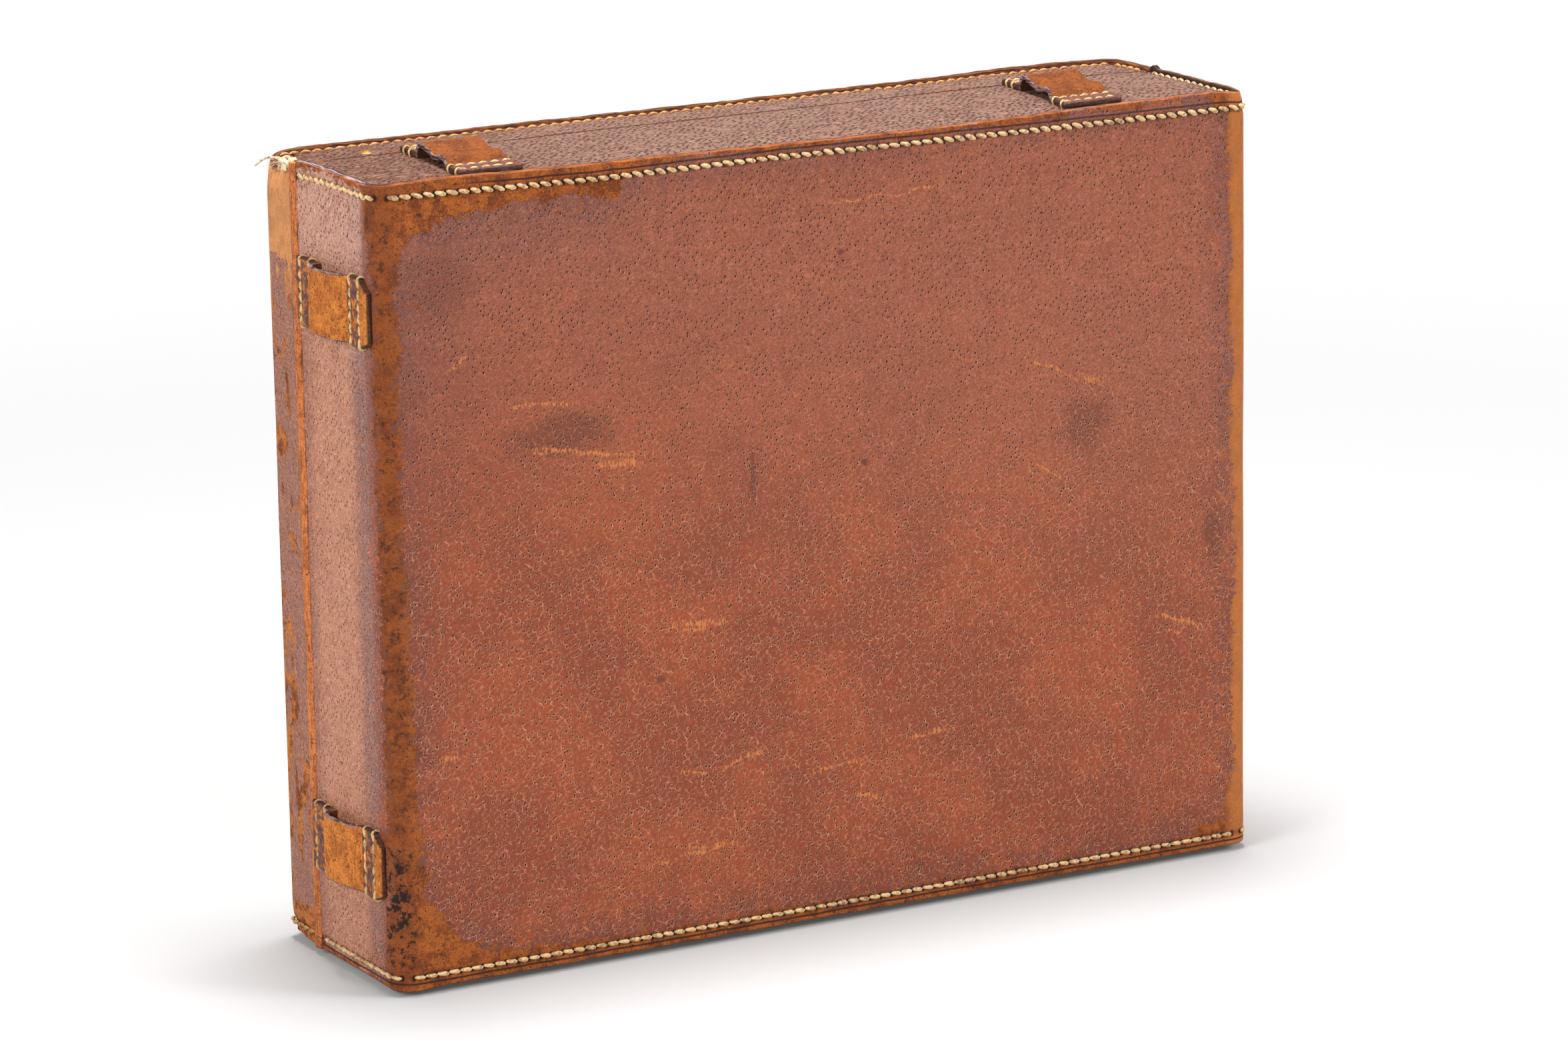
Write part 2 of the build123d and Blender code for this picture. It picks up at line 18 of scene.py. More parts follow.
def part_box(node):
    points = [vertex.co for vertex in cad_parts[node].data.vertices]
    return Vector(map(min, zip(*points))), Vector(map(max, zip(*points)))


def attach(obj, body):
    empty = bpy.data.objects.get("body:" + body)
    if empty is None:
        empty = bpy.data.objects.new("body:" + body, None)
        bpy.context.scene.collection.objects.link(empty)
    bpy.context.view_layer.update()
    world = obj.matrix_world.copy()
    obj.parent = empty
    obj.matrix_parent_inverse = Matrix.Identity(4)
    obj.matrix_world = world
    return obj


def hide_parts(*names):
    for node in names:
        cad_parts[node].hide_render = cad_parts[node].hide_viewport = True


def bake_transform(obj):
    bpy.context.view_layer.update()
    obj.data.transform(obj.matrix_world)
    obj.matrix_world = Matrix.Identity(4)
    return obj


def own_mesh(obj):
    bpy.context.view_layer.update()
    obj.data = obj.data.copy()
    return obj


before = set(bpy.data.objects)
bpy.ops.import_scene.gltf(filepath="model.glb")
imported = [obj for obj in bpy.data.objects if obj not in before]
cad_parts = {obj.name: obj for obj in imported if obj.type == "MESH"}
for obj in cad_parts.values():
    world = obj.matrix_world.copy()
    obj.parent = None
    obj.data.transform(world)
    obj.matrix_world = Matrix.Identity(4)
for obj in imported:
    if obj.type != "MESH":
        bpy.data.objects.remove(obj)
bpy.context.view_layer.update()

bl_info = {
    "name": "Leather Camera Case",
    "version": (1, 0, 0),
    "blender": (4, 5, 0),
    "location": "3D View > Sidebar > Camera Case",
    "description": "Builds a hand-sewn pigskin camera case around its CAD frame",
    "category": "Add Mesh",
}

MM = 0.001

# Places of the leather box, read from the frame
base_low, base_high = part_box("base_wrap")
X_LEFT = base_low.x
X_RIGHT = base_high.x
Y_FRONT = base_low.y
Y_BASE = base_high.y
Y_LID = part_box("lid_top_panel")[0].y
Y_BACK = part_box("lid_wrap")[1].y
Y_SPLIT = (Y_BASE + Y_LID) / 2
Z_LOW = base_low.z
Z_HIGH = base_high.z
Z_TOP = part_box("base_top_panel")[1].z
Z_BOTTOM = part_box("base_bottom_panel")[0].z
WIDTH = X_RIGHT - X_LEFT
HEIGHT = Z_HIGH - Z_LOW

# In mm: how much further along the lower seams start, and the keepers' length and width
LOWER_SEAM_SHIFT = 1.2
KEEPER_LENGTH = 49.0
KEEPER_WIDTH = 22.0


def length_setting(name, description, millimetres):
    """A size that the panel offers, in metres."""
    return FloatProperty(
        name=name, description=description, default=millimetres * MM, min=0.0, unit="LENGTH"
    )


def tone(red, green, blue):
    """A colour given as it shows on a screen, 0 to 255, in the linear values that Blender wants."""
    shares = [channel / 255 for channel in (red, green, blue)]
    return tuple(s / 12.92 if s <= 0.04045 else ((s + 0.055) / 1.055) ** 2.4 for s in shares)


def colour_setting(name, description, *screen):
    """A colour that the panel offers."""
    return FloatVectorProperty(
        name=name, description=description, default=tone(*screen),
        size=3, min=0.0, max=1.0, subtype="COLOR",
    )


class CaseSizes(PropertyGroup):
    """Sizes of the leatherwork."""

    leather: length_setting("Leather", "Thickness of the hide round the walls", 2.4)
    bend: length_setting("Bend radius", "Outer radius of the upright bends", 7.0)
    soft_bend: length_setting("Soft bend radius", "Radius of the worn bend beside the fold", 7.5)
    pitch: length_setting("Stitch pitch", "Distance from one stitch to the next", 4.0)
    thread: length_setting("Thread", "Thickness of the waxed thread", 1.5)
    seam_inset: length_setting("Seam inset", "Distance of the seams from the crest", 4.0)
    first_stitch: length_setting("First stitch", "Place of the first front stitch", 6.3)
    strip: length_setting("Keeper strip", "Thickness of a keeper's arch", 1.6)
    cloth: length_setting("Cloth", "Thickness of the lining", 0.6)


class CaseColours(PropertyGroup):
    """Colours of the case's finishes."""

    hide: colour_setting("Hide", "Polished pigskin", 172, 78, 34)
    hide_deep: colour_setting("Deep hide", "Darker clouds in the pigskin", 146, 62, 28)
    hide_plum: colour_setting("Plum hide", "Purplish bloom beside the worn edges", 112, 60, 56)
    hide_pale: colour_setting("Pale hide", "Light lines where the grain has cracked", 222, 148, 106)
    suede: colour_setting("Suede", "Hide rubbed through to its fibres", 186, 100, 34)
    suede_dark: colour_setting("Dark suede", "Dirt rubbed into the worn hide", 122, 58, 20)
    pore: colour_setting("Pore", "Hair pores and dirt", 34, 14, 10)
    cream: colour_setting("Cream thread", "Thread of the base", 232, 198, 146)
    ochre: colour_setting("Ochre thread", "Thread of the lid and the keepers", 214, 158, 92)
    cloth: colour_setting("Lining", "Napped cloth inside", 84, 26, 34)
    board: colour_setting("Board", "Pasteboard", 148, 118, 84)
    brass: colour_setting("Brass", "Dulled brass", 182, 142, 88)
    steel: colour_setting("Steel", "Spring wire", 150, 150, 148)
    floor: colour_setting("Floor", "Paper that the case stands on", 188, 187, 187)


def sizes():
    """The size settings of the scene."""
    return bpy.context.scene.case_sizes


def colours():
    """The colour settings of the scene."""
    return bpy.context.scene.case_colours


# Curves, noise and meshes


def lattice(cells, seed):
    """Random heights from -1 to 1 for whole-numbered cells, the same on each run."""
    mixed = np.sin(cells * 12.9898 + seed * 78.233) * 43758.5453
    return 2 * (mixed - np.floor(mixed)) - 1


def waver(places, spacing, seed):
    """A smooth random line from -1 to 1: random heights a spacing apart, joined by soft steps."""
    cell = np.floor(places / spacing)
    share = places / spacing - cell
    share = share * share * (3 - 2 * share)
    return lattice(cell, seed) * (1 - share) + lattice(cell + 1, seed) * share


def swell(across, up, spacing, seed):
    """A smooth random field from -1 to 1: four lattice heights joined by soft steps."""
    cell = np.floor(up / spacing)
    share = up / spacing - cell
    share = share * share * (3 - 2 * share)
    first = waver(across + 37.1 * spacing * cell, spacing, seed)
    second = waver(across + 37.1 * spacing * (cell + 1), spacing, seed)
    return first * (1 - share) + second * share


def bell(distance, width):
    """A bump that is 1 at a distance of nought and fades within about a width."""
    return np.exp(-((distance / width) ** 2))


def ebb(distance, reach):
    """1 at a distance of nought, falling in a straight line to 0 at a reach."""
    return np.clip(1 - distance / reach, 0, 1)


def rounded(share):
    """How far a quarter circle has dropped, 0 to 1, at a share of its way."""
    return 1 - np.sqrt(np.maximum(1 - share**2, 0))


def nearest(places, marks):
    """Distance from each place to the nearest mark."""
    return np.abs(places[..., None] - marks).min(-1)


def curve_through(corners, count):
    """Points on a soft curve through corners: cubic pieces whose slope is half the next chord."""
    corners = np.asarray(corners, float)
    ends = np.concatenate([2 * corners[:1] - corners[1:2], corners, 2 * corners[-1:] - corners[-2:-1]])
    place = np.linspace(0, len(corners) - 1, count)
    cell = np.minimum(place.astype(int), len(corners) - 2)
    t = (place - cell)[:, None]
    before, here, ahead, after = (ends[cell + step] for step in range(4))
    slope = (ahead - before) / 2
    slope_ahead = (after - here) / 2
    turn = 3 * (ahead - here) - 2 * slope - slope_ahead
    bend = 2 * (here - ahead) + slope + slope_ahead
    return here + slope * t + turn * t**2 + bend * t**3


def linked(name, data):
    """A new object in the scene."""
    piece = bpy.data.objects.new(name, data)
    bpy.context.scene.collection.objects.link(piece)
    return piece


def carried(section, places, axis, middle):
    """Rings of one flat section about a middle, set at places along an axis."""
    first, second = (number for number in range(3) if number != axis)
    rings = np.zeros((len(places), len(section), 3))
    rings[..., first] = middle[first] + section[:, 0]
    rings[..., second] = middle[second] + section[:, 1]
    rings[..., axis] = places[:, None]
    return rings


def shell(name, rings, run=None, crease=50):
    """A closed shell through rings of points, with a flat face over each end.

    rings is (stations, around, 3), or (items, stations, around, 3) for many like shells.
    run gives each corner's place on the leather, with one more column than rings to close it.
    """
    rings = np.asarray(rings, float)
    if rings.ndim == 3:
        rings = rings[None]
        run = None if run is None else np.asarray(run, float)[None]
    items, stations, around, _ = rings.shape
    index = np.arange(items * stations * around).reshape(items, stations, around)
    here, ahead = index[:, :-1], index[:, 1:]
    quads = np.stack([here, np.roll(here, -1, 2), np.roll(ahead, -1, 2), ahead], -1).reshape(-1, 4)
    caps = np.concatenate([index[:, 0, ::-1], index[:, -1]])
    points = rings.reshape(-1, 3)
    corners = points[quads]
    normals = np.cross(corners[:, 2] - corners[:, 0], corners[:, 3] - corners[:, 1])
    owner = np.repeat(rings.mean((1, 2)), len(quads) // items, 0)
    outward = np.einsum("ij,ij->", corners.mean(1) - owner, normals)
    if outward < 0:
        quads, caps = quads[:, ::-1], caps[:, ::-1]
    mesh = bpy.data.meshes.new(name)
    mesh.vertices.add(len(points))
    mesh.vertices.foreach_set("co", points.astype(np.float32).ravel())
    loops = np.concatenate([quads.ravel(), caps.ravel()]).astype(np.int32)
    starts = np.concatenate([
        np.arange(len(quads)) * 4, quads.size + np.arange(len(caps)) * around,
    ])
    mesh.loops.add(len(loops))
    mesh.loops.foreach_set("vertex_index", loops)
    mesh.polygons.add(len(starts))
    mesh.polygons.foreach_set("loop_start", starts.astype(np.int32))
    mesh.polygons.foreach_set("use_smooth", np.ones(len(starts), bool))
    if run is not None:
        left, right = run[:, :, :-1], run[:, :, 1:]
        sides = [left[:, :-1], right[:, :-1], right[:, 1:], left[:, 1:]]
        flat = np.stack(sides, -2).reshape(-1, 4, 2)
        ends = np.concatenate([left[:, 0, ::-1], left[:, -1]])
        if outward < 0:
            flat, ends = flat[:, ::-1], ends[:, ::-1]
        layer = mesh.uv_layers.new(name="run")
        flat = np.concatenate([flat.reshape(-1), ends.reshape(-1)])
        layer.data.foreach_set("uv", flat.astype(np.float32))
    mesh.update(calc_edges=True)
    mesh.validate()
    mesh.set_sharp_from_angle(angle=math.radians(crease))
    return linked(name, mesh)


def dress(piece, material, body, stands_for):
    """Gives a piece its material and its body, and hides the CAD nodes it stands for.

    A piece that bends between two bodies is given none here.
    """
    piece.data.materials.clear()
    piece.data.materials.append(material)
    if body:
        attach(piece, body)
    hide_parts(*stands_for)


def tube(paths, radius, out, around=8, twist=0.0):
    """Rings round many paths: circles square to the path, turned so that one side faces out.

    paths is (items, stations, 3), radius (items, stations), and out (items, 3). A twist above
    nought swells the circle into two strands that wind round each other.
    """
    along = np.gradient(paths, axis=1)
    along /= np.linalg.norm(along, axis=-1, keepdims=True)
    side = np.cross(along, out[:, None, :])
    side /= np.linalg.norm(side, axis=-1, keepdims=True)
    up = np.cross(side, along)
    angle = np.linspace(0, 2 * np.pi, around, endpoint=False)
    wind = np.linspace(0, 3 * np.pi, paths.shape[1])
    swelling = 1 + twist * np.cos(2 * angle[None, :] - wind[:, None])
    reach = radius[..., None] * swelling[None]
    ring = reach[..., None] * (
        np.cos(angle)[:, None] * side[:, :, None, :] + np.sin(angle)[:, None] * up[:, :, None, :]
    )
    return paths[:, :, None, :] + ring


# Shader maths


class Signal:
    """A number in a shader, so that sums and products on it read as plain Python."""

    def __init__(self, paint, socket):
        self.paint = paint
        self.socket = socket

    def __add__(self, other):
        return self.paint.maths("ADD", self, other)

    def __sub__(self, other):
        return self.paint.maths("SUBTRACT", self, other)

    def __rsub__(self, other):
        return self.paint.maths("SUBTRACT", other, self)

    def __mul__(self, other):
        return self.paint.maths("MULTIPLY", self, other)

    def __truediv__(self, other):
        return self.paint.maths("DIVIDE", self, other)

    def __neg__(self):
        return self.paint.maths("MULTIPLY", self, -1.0)

    def __abs__(self):
        return self.paint.maths("ABSOLUTE", self)

    __radd__ = __add__
    __rmul__ = __mul__


class Paint:
    """A material or a world under construction."""

    def __init__(self, name, kind="materials"):
        self.block = getattr(bpy.data, kind).new(name)
        self.block.use_nodes = True
        self.tree = self.block.node_tree
        self.tree.nodes.clear()

    def node(self, kind, settings=None, **sockets):
        """Adds any node: first its settings, then the values or links of its sockets.

        A socket is named as Blender names it, with _ for a space, or as number_N by its place.
        """
        node = self.tree.nodes.new(kind)
        for key, value in (settings or {}).items():
            setattr(node, key, value)
        for key, value in sockets.items():
            place = int(key[7:]) if key.startswith("number_") else key.replace("_", " ")
            socket = node.inputs[place]
            if isinstance(value, Signal):
                self.tree.links.new(value.socket, socket)
            elif isinstance(value, bpy.types.NodeSocket):
                self.tree.links.new(value, socket)
            elif socket.type == "RGBA":
                socket.default_value = (*value, 1.0)
            else:
                socket.default_value = value
        return node

    def maths(self, operation, *values):
        """One Math node on numbers or signals."""
        sockets = {f"number_{place}": value for place, value in enumerate(values)}
        node = self.node("ShaderNodeMath", {"operation": operation}, **sockets)
        return Signal(self, node.outputs[0])

    def least(self, *signals):
        """The smallest of several signals."""
        found = signals[0]
        for signal in signals[1:]:
            found = self.maths("MINIMUM", found, signal)
        return found

    def most(self, *signals):
        """The largest of several signals."""
        found = signals[0]
        for signal in signals[1:]:
            found = self.maths("MAXIMUM", found, signal)
        return found

    def fade(self, signal, start, end):
        """0 at start and before, 1 at end and past it, with a soft step between."""
        node = self.node(
            "ShaderNodeMapRange", {"interpolation_type": "SMOOTHSTEP"},
            Value=signal, From_Min=start, From_Max=end,
        )
        return Signal(self, node.outputs[0])

    def vector(self, operation, *values, scale=None):
        """One Vector Math node; its output is a number for lengths and a vector otherwise."""
        sockets = {f"number_{place}": value for place, value in enumerate(values)}
        if scale is not None:
            sockets["Scale"] = scale
        node = self.node("ShaderNodeVectorMath", {"operation": operation}, **sockets)
        if operation in ("LENGTH", "DISTANCE", "DOT_PRODUCT"):
            return Signal(self, node.outputs["Value"])
        return node.outputs["Vector"]

    def leather_run(self):
        """Place on the leather in millimetres, from the piece's own map: a vector and its parts."""
        layer = self.node("ShaderNodeUVMap", {"uv_map": "run"}).outputs[0]
        place = self.vector("SCALE", layer, scale=1 / MM)
        parts = self.node("ShaderNodeSeparateXYZ", Vector=place)
        return place, Signal(self, parts.outputs[0]), Signal(self, parts.outputs[1])

    def object_place(self):
        """Place in the object in millimetres."""
        place = self.node("ShaderNodeTexCoord").outputs["Object"]
        return self.vector("SCALE", place, scale=1 / MM)

    def noise(self, place, size, detail=3.0, roughness=0.55, shift=0.0, stretch=None, colour=False):
        """Cloudy noise from 0 to 1 with clouds of a size in millimetres.

        stretch scales the place first: a part below 1 draws the clouds out that way.
        """
        if stretch:
            place = self.vector("MULTIPLY", place, stretch)
        if shift:
            place = self.vector("ADD", place, (shift, shift * 0.7, shift * 0.3))
        node = self.node(
            "ShaderNodeTexNoise", Vector=place, Scale=1 / size, Detail=detail, Roughness=roughness,
        )
        return node.outputs["Color"] if colour else Signal(self, node.outputs[0])

    def cells(self, place, size, feature="F1", randomness=0.85):
        """A Voronoi node with cells of a size in millimetres, and the place in cell units."""
        scaled = self.vector("SCALE", place, scale=1 / size)
        node = self.node(
            "ShaderNodeTexVoronoi",
            {"feature": feature, "voronoi_dimensions": "2D"},
            Vector=scaled, Scale=1.0, Randomness=randomness,
        )
        return node, scaled

    def to_edge(self, place, size):
        """Distance in millimetres to the nearest edge between cells of a size."""
        node, _ = self.cells(place, size, feature="DISTANCE_TO_EDGE")
        return Signal(self, node.outputs["Distance"]) * size

    def blend(self, factor, first, second):
        """Two colours mixed by a factor from 0 to 1."""
        node = self.node(
            "ShaderNodeMix", {"data_type": "RGBA"}, number_0=factor, number_6=first, number_7=second,
        )
        return node.outputs[2]

    def coats(self, colour, *coats):
        """A colour with coats laid over it in turn, each given as a mask and its colour."""
        for mask, coat in coats:
            colour = self.blend(mask, colour, coat)
        return colour

    def ramp(self, signal, stops):
        """A number that follows stops of (place, height), both from 0 to 1, with straight runs."""
        node = self.node("ShaderNodeValToRGB", number_0=signal)
        for number, (place, height) in enumerate(stops):
            stop = node.color_ramp.elements[number] if number < 2 else None
            stop = stop or node.color_ramp.elements.new(place)
            stop.position = place
            stop.color = (height, height, height, 1.0)
        parts = self.node("ShaderNodeSeparateColor", Color=node.outputs[0])
        return Signal(self, parts.outputs[0])

    def oval(self, across, up, centre, size, lean=0.0):
        """Distance from an oval's middle, 1 at its rim. Sizes are its half width and height."""
        turned = math.radians(lean)
        dx, dy = across - centre[0], up - centre[1]
        along = dx * math.cos(turned) + dy * math.sin(turned)
        over = dy * math.cos(turned) - dx * math.sin(turned)
        squares = (along * along) / size[0] ** 2 + (over * over) / size[1] ** 2
        return self.maths("SQRT", squares)

    def seen_by(self, *kinds):
        """1 for light paths of the kinds named, 0 for others."""
        rays = self.node("ShaderNodeLightPath")
        return self.most(*(Signal(self, rays.outputs[kind]) for kind in kinds))

    def mixed_shader(self, factor, first, second):
        """Two shader nodes mixed by a factor from 0 to 1."""
        return self.node(
            "ShaderNodeMixShader", Fac=factor, number_1=first.outputs[0], number_2=second.outputs[0],
        )

    def surface(self, relief, **sockets):
        """Closes the material: the main shader, with relief in millimetres as its bump."""
        bump = self.node("ShaderNodeBump", Height=relief, Distance=MM, Strength=1.0)
        shader = self.node("ShaderNodeBsdfPrincipled", Normal=bump.outputs[0], **sockets)
        self.node("ShaderNodeOutputMaterial", Surface=shader.outputs[0])
        return self.block


# Pigskin


def pigskin(paint, place, crackle, pore_size=1.0):
    """Pigskin grain: pores in threes, wrinkles between them and a net of fine cracks.

    Pores stand at three corners round the middle of cells 3.4 mm wide, each with a painted glint
    beside it. Cracks follow the edges of smaller cells, drawn out along the slant of the hide, and
    are strongest near a pore. Returns the masks of pores, glints, cracks, of the painted shade in
    the dips and of the painted highlights on the ridges of the wrinkles, and the relief in millimetres.
    """
    cell_size = 3.4
    drift = paint.noise(place, 9.0, detail=2.0, colour=True)
    drift = paint.vector("SUBTRACT", drift, (0.5, 0.5, 0.5))
    moved = paint.vector("ADD", place, paint.vector("SCALE", drift, scale=3.4))
    cells, scaled = paint.cells(moved, cell_size, randomness=0.42)
    away = paint.vector("SUBTRACT", scaled, cells.outputs["Position"])
    odd = paint.node("ShaderNodeSeparateColor", Color=cells.outputs["Color"])
    fewer = Signal(paint, odd.outputs[0])
    pores, glints = [], []
    for number, corner in enumerate(((0.05, 0.3), (-0.31, -0.08), (0.26, -0.24))):
        reach = paint.vector("SUBTRACT", away, (*corner, 0.0))
        reach = paint.vector("SCALE", reach, scale=cell_size / pore_size)
        beside = paint.vector("LENGTH", paint.vector("ADD", reach, (-0.28, 0.26, 0.0)))
        reach = paint.vector("LENGTH", paint.vector("MULTIPLY", reach, (1.15, 0.8, 1.0)))
        if number == 2:
            missing = paint.fade(fewer, 0.7, 0.72)
            reach, beside = reach + missing, beside + missing
        pores.append(reach)
        glints.append(beside)
    nearest_pore = paint.least(*pores)
    pore = 1 - paint.fade(nearest_pore, 0.2, 0.36)
    glint = 1 - paint.fade(paint.least(*glints), 0.1, 0.3)
    turned = paint.node(
        "ShaderNodeVectorRotate", {"rotation_type": "Z_AXIS"}, Vector=moved, Angle=math.radians(-32),
    ).outputs[0]
    stretched = paint.vector("MULTIPLY", turned, (0.6, 1.15, 1.0))
    gap = paint.to_edge(stretched, 1.8)
    star_gap = paint.to_edge(moved, 0.85)
    broken = paint.fade(paint.noise(place, 3.0, detail=3.0, shift=3.0), 0.48, 0.56)
    near = 1 - paint.fade(nearest_pore, 0.4, 1.2)
    crack = (1 - paint.fade(gap, 0.03, 0.15)) * (broken * 0.55 + near * 0.6)
    rays = (1 - paint.fade(star_gap, 0.02, 0.12)) * (1 - paint.fade(nearest_pore, 0.3, 0.9))
    crack = paint.most(crack, rays) * crackle
    folds = paint.noise(stretched, 0.5, detail=2.0, roughness=0.6)
    creases = abs(paint.noise(stretched, 1.6, detail=3.0, shift=41.0) * 2 - 1)
    fine = paint.noise(place, 0.28, detail=1.0, shift=11.0)
    waves = folds * 0.6 + fine * 0.4
    # Dips: painted shade in the dips and creases of the wrinkles and round the pores; the mask also lowers
    # the relief.
    dip_shade = paint.most(
        paint.fade(waves, 0.49, 0.41) * 0.8, (1 - paint.fade(creases, 0.01, 0.06)) * 0.9,
        (1 - paint.fade(nearest_pore, 0.15, 0.6)) * 0.7,
    )
    swollen = paint.fade(nearest_pore, 0.35, 1.25)
    # Ridges: mask of the painted highlights on the ridges of the wrinkles.
    ridge_highlight = paint.fade(waves + (swollen - 0.6) * 0.1, 0.51, 0.62)
    relief = waves * 0.7 + swollen * 0.28 - dip_shade * 0.12 - pore * 0.3 - crack * 0.08
    return pore, glint, crack, dip_shade, ridge_highlight, relief


def rubbed(paint, place, depth, ragged=13.0):
    """Mask of hide rubbed through, from a depth inside the worn patch in millimetres."""
    torn = paint.noise(place, 2.4, 6.0, roughness=0.8, shift=21.0, stretch=(0.6, 1.3, 1.0)) - 0.5
    slow = paint.noise(place, 14.0, detail=2.0, shift=5.0) - 0.5
    edge = depth + torn * ragged + slow * 7.0
    flecks = paint.noise(place, 1.7, detail=4.0, roughness=0.7, shift=47.0)
    near = paint.most(depth, -60.0)
    fleck = paint.fade(flecks + near * 0.0022, 0.6, 0.62)
    return paint.most(paint.fade(edge, -0.15, 0.15), fleck)


def suede_look(paint, place, light, dark):
    """Colour and relief of hide rubbed down to its fibres."""
    clouds = paint.noise(place, 5.0, detail=5.0, roughness=0.7, shift=9.0)
    grit = paint.noise(place, 0.5, detail=3.0, roughness=0.7, shift=31.0)
    specks = paint.noise(place, 1.1, detail=3.0, roughness=0.7, shift=57.0)
    colour = paint.blend(paint.fade(clouds, 0.38, 0.58), dark, light)
    colour = paint.blend(paint.fade(grit, 0.5, 0.62) * 0.5, colour, dark)
    pale = tuple(min(1.0, channel * 1.6 + 0.02) for channel in light)
    colour = paint.blend(paint.fade(grit, 0.48, 0.38) * 0.4, colour, pale)
    colour = paint.blend(paint.fade(specks, 0.6, 0.63) * 0.8, colour, tone(58, 28, 14))
    return colour, grit * 0.9 + clouds * 0.4


def stroke(paint, across, up, start, end, width, torn):
    """Mask of one scratch: a line from start to end, torn into flecks that thin out at its ends."""
    dx, dy = end[0] - start[0], end[1] - start[1]
    length = math.hypot(dx, dy)
    middle = ((start[0] + end[0]) / 2, (start[1] + end[1]) / 2)
    ax, ay = across - middle[0], up - middle[1]
    along = abs(ax * (dx / length) + ay * (dy / length))
    over = abs(ay * (dx / length) - ax * (dy / length))
    inside = paint.least(1 - over / (width * 3), (length / 2 - along) / (length * 0.3))
    return paint.fade(inside * 0.22 + torn, 0.66, 0.7) * paint.fade(inside, 0.0, 0.1)


# Scratches on the front: start, end and half width, in mm from the hinge face and the bottom
SCRATCHES = (
    ((94.0, 105.2), (122.0, 103.4), 0.8),
    ((100.0, 103.0), (113.0, 102.2), 0.5),
    ((277.0, 84.5), (301.0, 76.5), 0.6),
    ((283.0, 79.5), (290.0, 76.0), 0.4),
    ((99.0, 57.5), (113.0, 54.4), 0.35),
    ((112.0, 54.4), (134.0, 59.5), 0.5),
    ((81.0, 26.9), (126.0, 31.0), 0.5),
    ((98.0, 32.0), (125.0, 29.5), 0.4),
    ((147.0, 49.6), (170.0, 51.2), 0.4),
    ((182.0, 56.8), (203.0, 55.6), 0.5),
    ((162.5, 39.4), (176.0, 38.6), 0.6),
    ((148.0, 233.6), (209.0, 235.6), 0.3),
    ((22.0, 193.5), (30.0, 201.0), 0.4),
    ((13.0, 74.3), (27.0, 72.8), 0.6),
    ((40.0, 182.4), (68.0, 180.0), 0.4),
    ((43.0, 168.8), (98.0, 159.6), 0.45),
    ((70.0, 161.0), (92.0, 158.0), 0.8),
    ((228.0, 177.0), (254.0, 165.0), 0.35),
    ((248.0, 168.8), (262.0, 164.6), 0.7),
    ((231.0, 141.0), (246.0, 133.0), 0.3),
)

# Stains on the front: middle, half width and half height, and strength
STAINS = (
    ((62.0, 171.0), (22.0, 9.0), 0.55),
    ((129.0, 149.0), (1.6, 15.0), 0.6),
    ((253.0, 152.0), (12.0, 11.0), 0.5),
    ((162.0, 218.0), (2.0, 1.6), 0.8),
    ((169.5, 149.0), (2.0, 1.8), 0.8),
    ((94.5, 88.0), (2.6, 1.6), 0.6),
    ((188.5, 12.0), (2.0, 2.6), 0.6),
    ((302.0, 108.0), (5.0, 13.0), 0.6),
    ((22.0, 222.0), (16.0, 15.0), 0.35),
    ((110.0, 125.0), (26.0, 16.0), 0.3),
)


def seam_marks(paint, across, up, top_row, shown=1.0):
    """Masks of the needle holes and of the pressed grooves along the upper and the lower seam.

    top_row is the upper seam's height. shown fades its marks where the thread has gone.
    """
    s = sizes()
    pitch, start = s.pitch / MM, s.first_stitch / MM
    rows = ((top_row, start, shown), (s.seam_inset / MM, start + LOWER_SEAM_SHIFT, 1.0))
    holes, grooves = [], []
    for row, first, share in rows:
        phase = (across - (first - pitch / 2)) / pitch
        off = abs(paint.maths("FRACT", phase + 0.5) - 0.5) * pitch
        over = abs(up - row)
        hole = 1 - paint.fade(paint.maths("SQRT", off * off + over * over * 0.5), 0.45, 1.05)
        holes.append(hole * share)
        grooves.append((1 - paint.fade(over, 0.3, 1.5)) * share)
    return paint.most(*holes), paint.most(*grooves)


def crest_mask(paint, up, height):
    """Mask of both crests, where the hide's raw edge shows."""
    return paint.most(paint.fade(up, height - 0.4, height + 0.3), paint.fade(up, 0.4, -0.3))


